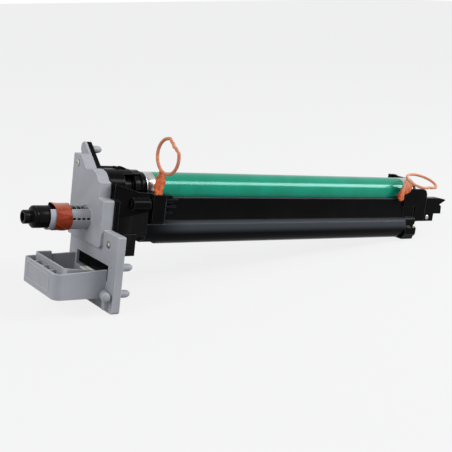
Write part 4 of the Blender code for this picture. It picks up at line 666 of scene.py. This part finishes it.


# Black frames
# Front and rear end frames, the charging cover, the gear case with its lid and the waste pipe: glass-filled
# ABS moulded in polished tools, so the long faces mirror a little light and the rest is deep black. The snap
# clips hold the beam's front end, and the shoulder closes the case's top.
# The rubbed colour paints a highlight along the edges of these frames.
BLACK_ABS = moulded_plastic("black_abs_satin", colour="070708", marked="09090a", rubbed_and_highlight="4b4d52",
                            roughness=0.2, specular=0.035, grain_mm=0.9, grain=0.03, edge_mm=0.45)
for node in ("front_end_frame", "rear_end_frame", "rear_cover", "charge_housing", "waste_pipe"):
    moulding(node, BLACK_ABS, "black_abs")
clips = blocks("beam_clips", [
    ((60.0, -26.6, -7.2), (77.4, -18.9, -5.6)), ((60.0, -26.6, -13.6), (76.2, -19.2, -12.0)),
    ((60.0, -26.6, -19.4), (72.4, -19.6, -17.8)), ((60.0, -26.6, -22.4), (65.2, -19.9, -5.6)),
])
shoulder = blocks("case_shoulder", [((417.3, -21.2, -6.0), (431.0, -12.5, -4.15))])
for piece in (clips, shoulder):
    fair_shading(piece)
    settle(piece, BLACK_ABS, "frame", "black_abs")


# Beam
# Long housing of the waste toner in the same black ABS. A slate grey band is painted on the upper half of its
# skirt's -Y face as a painted sheen, fading in from the front end, and its ridge carries a painted highlight.
# Its brighter rubbed colour paints a highlight on the ridge's edge.
BEAM_ABS_SHEEN = moulded_plastic("black_abs_painted_sheen_band", colour="070708", marked="09090a", rubbed_and_highlight="6c7076",
                           roughness=0.2, specular=0.035, grain_mm=0.9, grain=0.05, edge_mm=0.6)
beam_tree = BEAM_ABS_SHEEN.node_tree
beam_shader = beam_tree.nodes["Principled BSDF"]
beam_plain = beam_shader.inputs["Base Color"].links[0].from_node
# Painted sheen: a mask on the skirt's -Y face between Z -27 and -39.5 mm, fading in from X 48 to 95 mm.
beam_place = add(beam_tree, "ShaderNodeTexCoord")
beam_split = add(beam_tree, "ShaderNodeSeparateXYZ", None, None, {0: (beam_place, "Object")})
beam_sheen = calc(beam_tree, "LESS_THAN", (beam_split, "Y"), -23.0 * MM)
for axis, plain_at, full_at, easing in (
    ("Z", -39.5, -33.0, "SMOOTHSTEP"), ("Z", -26.9, -27.3, "LINEAR"), ("X", 48.0, 95.0, "SMOOTHSTEP"),
):
    fade = add(beam_tree, "ShaderNodeMapRange", {"interpolation_type": easing},
               {"From Min": plain_at * MM, "From Max": full_at * MM}, {"Value": (beam_split, axis)})
    beam_sheen = calc(beam_tree, "MULTIPLY", beam_sheen, (fade, "Result"))
# The masked band is painted slate grey as a painted sheen.
coloured(beam_tree, beam_shader, tinted(beam_tree, (beam_plain, 2), beam_sheen, "3a3e43"))
moulding("waste_housing", BEAM_ABS_SHEEN, "black_abs")


# Drum
# Aluminium tube turned bright at both ends, dip-coated green between them under a clear layer that mirrors
# the light in one sharp line. A black acetal flange is pressed into each end; the rear one takes the machine's
# shaft.
COAT, coat_tree, coat_shader = new_material("photoconductor_coat", Roughness=0.17, Specular_IOR_Level=0.32,
                                            Specular_Tint=(0.55, 1.0, 0.97, 1.0))
coat_place = add(coat_tree, "ShaderNodeTexCoord")
coat_dust = noise(coat_tree, coat_place, 45.0, 5.0)
coat_tone = ramp(coat_tree, coat_dust, "Fac", ((0.35, "027d60"), (0.65, "02876b")))
coloured(coat_tree, coat_shader, (coat_tone, "Color"))
ALUMINIUM = bright_metal("turned_aluminium", colour="b9b9bb", roughness=0.24, lines_mm=0.3, depth=0.04)

COAT_X = (60.3, 386.0)
DRUM_R = 15.0
BORE_R = 14.1
CHAMFER = 0.3
drum = turned_shape("drum_skin", [
    (51.0, BORE_R), (51.0, DRUM_R - CHAMFER), (51.0 + CHAMFER, DRUM_R), (COAT_X[0], DRUM_R),
    (COAT_X[1], DRUM_R), (399.0 - CHAMFER, DRUM_R), (399.0, DRUM_R - CHAMFER), (399.0, BORE_R),
], (0.0, 0.0), 180)
settle(drum, ALUMINIUM, "drum", "aluminium_and_coat", "drum_tube")
drum.data.materials.append(COAT)
for face in drum.data.polygons:
    radius = math.hypot(face.center.y, face.center.z) / MM
    if COAT_X[0] < face.center.x / MM < COAT_X[1] and radius > (BORE_R + DRUM_R) / 2:
        face.material_index = 1

flange = turned_shape("drum_flange_front_skin", [
    (11.3, 0.0), (11.3, 6.2), (12.1, 7.0), (24.0, 7.0), (24.0, 10.7), (24.3, 11.0), (38.1, 11.0),
    (38.4, 11.3), (38.4, 14.4), (38.9, 15.0), (43.7, 15.0), (44.2, 14.5), (44.2, 13.4), (45.8, 13.4),
    (45.8, 14.5), (46.2, 15.0), (50.3, 15.0), (50.7, 14.7), (50.7, 13.8), (63.0, 13.8), (63.0, 11.8),
    (47.0, 11.8), (47.0, 0.0),
], (0.0, 0.0), 96)
settle(flange, BLACK_ACETAL, "drum", "black_acetal", "drum_flange_front")
for node in ("drum_flange_rear", "auger_drive_gear"):
    moulding(node, BLACK_ACETAL, "black_acetal")


# Bearings and other white pieces
# Natural acetal: milky white and slightly waxy. The bar at the window's sill, the bushes, the auger's gear
# and the charge roller's bearings are moulded in it; the drive gear's bearing and the blade's bracket are steel.
WHITE_ACETAL = moulded_plastic("white_acetal", colour="e6e5df", marked="dcdbd4", rubbed_and_highlight="efeee9",
                               roughness=0.42, specular=0.4, grain_mm=0.6, grain=0.08, edge_mm=0.4)
for node in (
    "sill_bar", "front_bush", "rear_bush", "auger_gear", "charge_bearing_front", "charge_bearing_rear",
):
    moulding(node, WHITE_ACETAL, "white_acetal")
for node in ("drive_bearing", "blade_bracket"):
    moulding(node, ZINC, "zinc_plated_steel")


# Charging rollers
# Conductive rubber ground to size on a plated shaft, and an open-cell foam roller that wipes it.
RUBBER = moulded_plastic("ground_rubber", colour="1d1d1e", marked="242425", rubbed_and_highlight="2c2c2e",
                         roughness=0.62, specular=0.2, grain_mm=0.5, grain=0.3, edge_mm=0.2)
FOAM = moulded_plastic("open_cell_foam", colour="5c5c5e", marked="4a4a4c", rubbed_and_highlight="66666a",
                       roughness=0.9, specular=0.2, grain_mm=0.7, grain=0.9, edge_mm=0.2)
CHARGE_AXIS = (20.787, 0.726)
CLEANER_AXIS = (25.437, -7.328)
for node, body, axis, radius, bore, mat, slot in (
    ("charge_roller", "charge_roller", CHARGE_AXIS, 5.5, 3.0, RUBBER, "conductive_rubber"),
    ("cleaning_roller", "cleaning_roller", CLEANER_AXIS, 3.5, 1.8, FOAM, "grey_foam"),
):
    sleeve = turned_shape(node + "_skin", [
        (57.0, bore), (57.0, radius - 0.4), (57.4, radius), (370.6, radius), (371.0, radius - 0.4),
        (371.0, bore),
    ], axis, 64)
    settle(sleeve, mat, body, slot, node)
for node, body, axis, radius in (
    ("charge_shaft", "charge_roller", CHARGE_AXIS, 3.0),
    ("cleaner_shaft", "cleaning_roller", CLEANER_AXIS, 1.8),
):
    shaft = turned_shape(node + "_skin", [
        (48.8, 0.0), (48.8, radius - 0.4), (49.2, radius), (378.2, radius), (378.6, radius - 0.4),
        (378.6, 0.0),
    ], axis, 40)
    settle(shaft, ZINC, body, "zinc_plated_steel", node)


# Cleaning blade and seals
# Cast urethane blade bonded to its bracket, felt pads at its ends, and a thin polyester film at the mouth.
URETHANE = moulded_plastic("cast_urethane", colour="b9864a", marked="ad7b42", rubbed_and_highlight="c4975f",
                           roughness=0.35, specular=0.4, grain_mm=0.5, grain=0.05, edge_mm=0.2)
FELT = moulded_plastic("pressed_felt", colour="cfccc4", marked="bdbab2", rubbed_and_highlight="d6d3cb",
                       roughness=0.9, specular=0.15, grain_mm=0.4, grain=0.8, edge_mm=0.2)
FILM = moulded_plastic("polyester_film", colour="3a3b3e", marked="35363a", rubbed_and_highlight="4a4b50",
                       roughness=0.2, specular=0.4, grain_mm=0.5, grain=0.02, edge_mm=0.1)
for node, mat, slot in (
    ("cleaning_blade", URETHANE, "urethane"),
    ("end_seal_front", FELT, "felt"),
    ("end_seal_rear", FELT, "felt"),
    ("recovery_sheet", FILM, "polyester_film"),
):
    moulding(node, mat, slot)


# Waste toner auger
# Black acetal screw moulded in one piece: a round shaft with one flight that pushes the toner to the outlet.
def auger_tree():
    """Shaft with one flight along Z from the origin."""
    tree, sizes = new_tree("screw_conveyor", {
        "Shaft Radius": "Float", "Flight Radius": "Float", "Flight Thickness": "Float", "Pitch": "Float",
        "Turns": "Float", "Shaft Length": "Float", "Lead": "Float"})
    flight_radius, shaft_radius, turns = (sizes, "Flight Radius"), (sizes, "Shaft Radius"), (sizes, "Turns")
    total = calc(tree, "MULTIPLY", (sizes, "Pitch"), turns)
    middle = calc(tree, "MULTIPLY", calc(tree, "ADD", shaft_radius, flight_radius), 0.48)
    height = calc(tree, "MULTIPLY", calc(tree, "SUBTRACT", flight_radius, middle), 2.0)
    helix = add(tree, "GeometryNodeCurveSpiral", None, {"Resolution": 36},
                {"Rotations": turns, "Start Radius": middle, "End Radius": middle, "Height": total})
    upright = add(tree, "GeometryNodeSetCurveNormal", {"mode": "Z_UP"}, None, {"Curve": (helix, 0)})
    blade = add(tree, "GeometryNodeCurvePrimitiveQuadrilateral", {"mode": "RECTANGLE"}, None,
                {"Width": height, "Height": (sizes, "Flight Thickness")})
    flight = shifted(tree, swept(tree, upright, blade), (sizes, "Lead"))
    rod = add(tree, "GeometryNodeMeshCylinder", None, {"Vertices": 32},
              {"Radius": shaft_radius, "Depth": (sizes, "Shaft Length")})
    shaft = shifted(tree, (rod, 0), calc(tree, "MULTIPLY", (sizes, "Shaft Length"), 0.5))
    close_tree(tree, sizes, flight, shaft)
    return tree


auger = grown("waste_auger_skin", auger_tree(), BLACK_ACETAL,
              Matrix.Translation(Vector((-36.5, *AUGER_AXIS)) * MM) @ ALONG_X, {
                  "Shaft Radius": 1.8 * MM, "Flight Radius": 4.6 * MM, "Flight Thickness": 1.1 * MM,
                  "Pitch": 28.0 * MM, "Turns": 14.0, "Shaft Length": 450.1 * MM, "Lead": 1.6 * MM}, 45.0)
settle(auger, BLACK_ACETAL, "auger", "black_acetal", "waste_auger")


# Transport tabs
# Orange polypropylene strips with a finger ring, moulded in one piece. The flexible ring and the neck are thin
# and stretched and painted paler than the strip, partly stress whitening and partly painted light showing
# through the thin plastic; three grips are moulded on the ring's far side.
ORANGE_PP, tab_tree, tab_shader = new_material("orange_polypropylene", Roughness=0.38,
                                               Specular_IOR_Level=0.14)
tab_place = add(tab_tree, "ShaderNodeTexCoord")
tab_clouds = noise(tab_tree, tab_place, 300.0, 4.0, 0.6)
tab_deep = ramp(tab_tree, tab_clouds, "Fac", ((0.38, "973414"), (0.5, "b34a1e"), (0.62, "cf6f33")))
tab_whitened_and_lit = add(tab_tree, "ShaderNodeAttribute", {"attribute_name": "whitened_and_lit_through"})
# Painted paler by the attribute: partly stress whitening, partly painted light through the thin plastic.
coloured(tab_tree, tab_shader, tinted(tab_tree, (tab_deep, "Color"), (tab_whitened_and_lit, "Fac"), "d8a184"))
embossed(tab_tree, tab_shader, tab_clouds, 0.3, 0.4)

STRIP_THICK = 1.6
STRIP_RADIUS = 0.45
RING_STEPS = 120
WIRE_SIDES = 14
GRIP_START = 18.0
GRIP_SPAN = 70.0
GRIP_SINK = 3.0
GRIP_WAVE = 0.75


def tab_strip(node, outline, foot, lean, neck_z, neck_pale):
    """Strip from (x, z) points in mm, leant about an X line through its foot (y, z), its neck painted paler."""
    bm = bmesh.new()
    pale = bm.verts.layers.float.new("whitened_and_lit_through")
    hinge = Vector((0.0, *foot)) * MM
    turn = Matrix.Rotation(math.radians(lean), 4, "X")
    sides = []
    for y in (foot[0] - STRIP_THICK / 2, foot[0] + STRIP_THICK / 2):
        side = []
        for x, z in outline:
            vert = bm.verts.new(hinge + turn @ (Vector((x, y, z)) * MM - hinge))
            vert[pale] = neck_pale if z > neck_z else 0.0
            side.append(vert)
        bm.faces.new(side)
        sides.append(side)
    low, high = sides
    for k in range(len(outline)):
        after = (k + 1) % len(outline)
        bm.faces.new((low[k], low[after], high[after], high[k]))
    bmesh.ops.triangulate(bm, faces=[face for face in bm.faces if len(face.verts) > 4])
    bmesh.ops.recalc_face_normals(bm, faces=bm.faces)
    strip = object_from(node + "_skin", bm)
    rounding = strip.modifiers.new("rounding", "BEVEL")
    rounding.width = STRIP_RADIUS * MM
    rounding.segments = 3
    rounding.limit_method = "ANGLE"
    rounding.angle_limit = math.radians(30)
    return flattened(strip)


def with_ring(strip, centre, across, up, ring_r, wire_r, ring_pale):
    """Strip with a finger ring in the plane of two directions, sunk and waved where it is gripped."""
    bm = bmesh.new()
    bm.from_mesh(strip.data)
    pale = bm.verts.layers.float.get("whitened_and_lit_through")
    across = Vector(across).normalized()
    up = Vector(up).normalized()
    normal = across.cross(up).normalized()
    rings = []
    for i in range(RING_STEPS):
        angle = 360.0 * i / RING_STEPS
        reach = ring_r - wire_r
        share = (angle - GRIP_START) / GRIP_SPAN
        if 0.0 < share < 1.0:
            reach -= GRIP_SINK * math.sin(math.pi * share) ** 1.4
            reach -= GRIP_WAVE * math.sin(3.0 * math.pi * share) ** 2
        out = across * math.cos(math.radians(angle)) + up * math.sin(math.radians(angle))
        ring = []
        for k in range(WIRE_SIDES):
            spin = 2 * math.pi * k / WIRE_SIDES
            point = out * (reach + wire_r * math.cos(spin)) + normal * (wire_r * math.sin(spin))
            vert = bm.verts.new((Vector(centre) + point) * MM)
            # The ring is painted paler: partly stress whitening, partly painted light through the thin plastic.
            vert[pale] = ring_pale
            ring.append(vert)
        rings.append(ring)
    bmesh.ops.recalc_face_normals(bm, faces=closed_faces(bm, rings))
    bm.to_mesh(strip.data)
    bm.free()
    return fair_shading(strip, 50.0)


front_strip = tab_strip("pull_tab_front", (
    (54.2, -5.6), (61.4, -5.6), (60.9, -2.0), (61.3, 2.0), (62.4, 5.6), (64.1, 8.6), (63.4, 12.1),
    (63.4, 14.4), (65.1, 16.1), (64.0, 18.6), (61.6, 20.1), (58.9, 22.2), (57.3, 17.1), (54.5, 13.5),
    (53.9, 10.5), (52.4, 6.2), (52.4, 2.7),
), foot=(-25.4, -2.0), lean=-14.0, neck_z=15.0, neck_pale=0.25)
rear_strip = tab_strip("pull_tab_rear", (
    (367.7, -1.0), (369.2, -4.9), (371.2, -7.2), (375.5, -7.4), (377.2, -6.0), (377.2, 0.1), (380.6, 0.8),
    (386.0, 3.3), (387.8, 6.2), (388.9, 11.2), (385.8, 15.2), (383.2, 18.0), (377.6, 19.2), (376.6, 16.7),
    (375.2, 14.2), (373.1, 8.1), (371.3, 4.0),
), foot=(-22.3, 0.0), lean=0.0, neck_z=13.0, neck_pale=0.95)
front_tab = with_ring(front_strip, centre=(61.0, -28.0, 34.0), across=(0.092, -0.996, 0.0),
                      up=(0.0, 0.0, 1.0), ring_r=17.9, wire_r=1.6, ring_pale=0.5)
rear_tab = with_ring(rear_strip, centre=(391.6, -31.6, 16.4), across=(0.781, -0.603, -0.165),
                     up=(-0.60, -0.75, -0.28), ring_r=18.2, wire_r=1.5, ring_pale=0.68)
settle(front_tab, ORANGE_PP, "frame", "orange_polypropylene", "pull_tab_front")
settle(rear_tab, ORANGE_PP, "frame", "orange_polypropylene", "pull_tab_rear")


# Floor and light
# A pale table that the plate's foot and the rear foot stand on, a long soft box high over the camera's side,
# a square one before the cover, and a pale room.
FOOT_FRONT = (0.011, -0.104)
FOOT_REAR = (0.4014, -0.0507)
FLOOR_REACH = 8.0
FLOOR_GAP = 0.0003
WHITE_SHARE = 0.83


def seen_directly(tree):
    """1 for rays from the camera, off a mirror or through a clear piece, else 0, as a (node, output) pair."""
    path = add(tree, "ShaderNodeLightPath")
    mirrored = calc(tree, "MAXIMUM", (path, "Is Camera Ray"), (path, "Is Glossy Ray"))
    return calc(tree, "MAXIMUM", mirrored, (path, "Is Transmission Ray"))


slope = (FOOT_REAR[1] - FOOT_FRONT[1]) / (FOOT_REAR[0] - FOOT_FRONT[0])
corners = []
for x, y in ((-FLOOR_REACH, -FLOOR_REACH), (FLOOR_REACH, -FLOOR_REACH), (FLOOR_REACH, FLOOR_REACH),
             (-FLOOR_REACH, FLOOR_REACH)):
    corners.append((x, y, FOOT_FRONT[1] + slope * (x - FOOT_FRONT[0]) - FLOOR_GAP))
floor_mesh = bpy.data.meshes.new("floor")
floor_mesh.from_pydata(corners, [], [(0, 1, 2, 3)])
floor = linked_object("floor", floor_mesh)
FLOOR, floor_tree, floor_shader = new_material("pale_table", Base_Color=linear("aaaaaa"), Roughness=0.9,
                                               Specular_IOR_Level=0.0)
floor_white = add(floor_tree, "ShaderNodeEmission", None, {"Color": (1.0, 1.0, 1.0, 1.0), "Strength": 1.0})
floor_share = calc(floor_tree, "MULTIPLY", seen_directly(floor_tree), WHITE_SHARE)
floor_mix = add(floor_tree, "ShaderNodeMixShader", None, None,
                {0: floor_share, 1: (floor_shader, "BSDF"), 2: (floor_white, "Emission")})
floor_tree.links.new(floor_mix.outputs["Shader"], floor_tree.nodes["Material Output"].inputs["Surface"])
floor.data.materials.append(FLOOR)

world = bpy.data.worlds.new("room")
bpy.context.scene.world = world
world.use_nodes = True
world_tree = world.node_tree
world_tree.nodes.clear()
room = add(world_tree, "ShaderNodeBackground", None, {"Color": (0.93, 0.96, 1.0, 1.0), "Strength": 0.46})
backdrop = add(world_tree, "ShaderNodeBackground", None, {"Color": (1.0, 1.0, 1.0, 1.0), "Strength": 1.0})
shown = add(world_tree, "ShaderNodeMixShader", None, None,
            {0: seen_directly(world_tree), 1: (room, "Background"), 2: (backdrop, "Background")})
add(world_tree, "ShaderNodeOutputWorld", None, None, {"Surface": (shown, "Shader")})


def soft_box(name, place, aim, size, power):
    """Rectangular lamp aimed at a point, its first side level along X."""
    data = bpy.data.lights.new(name, "AREA")
    data.shape = "RECTANGLE"
    data.size, data.size_y = size
    data.energy = power
    lamp = linked_object(name, data)
    ahead = (Vector(aim) - Vector(place)).normalized()
    side = Vector((1.0, 0.0, 0.0))
    side = (side - ahead * side.dot(ahead)).normalized()
    up = side.cross(ahead)
    lamp.matrix_world = Matrix.Translation(place) @ Matrix((side, up, -ahead)).transposed().to_4x4()


soft_box("strip_box", place=(1.15, -0.88, 1.02), aim=(0.25, 0.0, 0.0), size=(1.1, 0.5), power=26.0)
soft_box("front_box", place=(-1.5, -0.25, 0.85), aim=(0.0, 0.0, -0.03), size=(1.0, 1.0), power=16.5)

bpy.context.scene.view_settings.view_transform = "Standard"
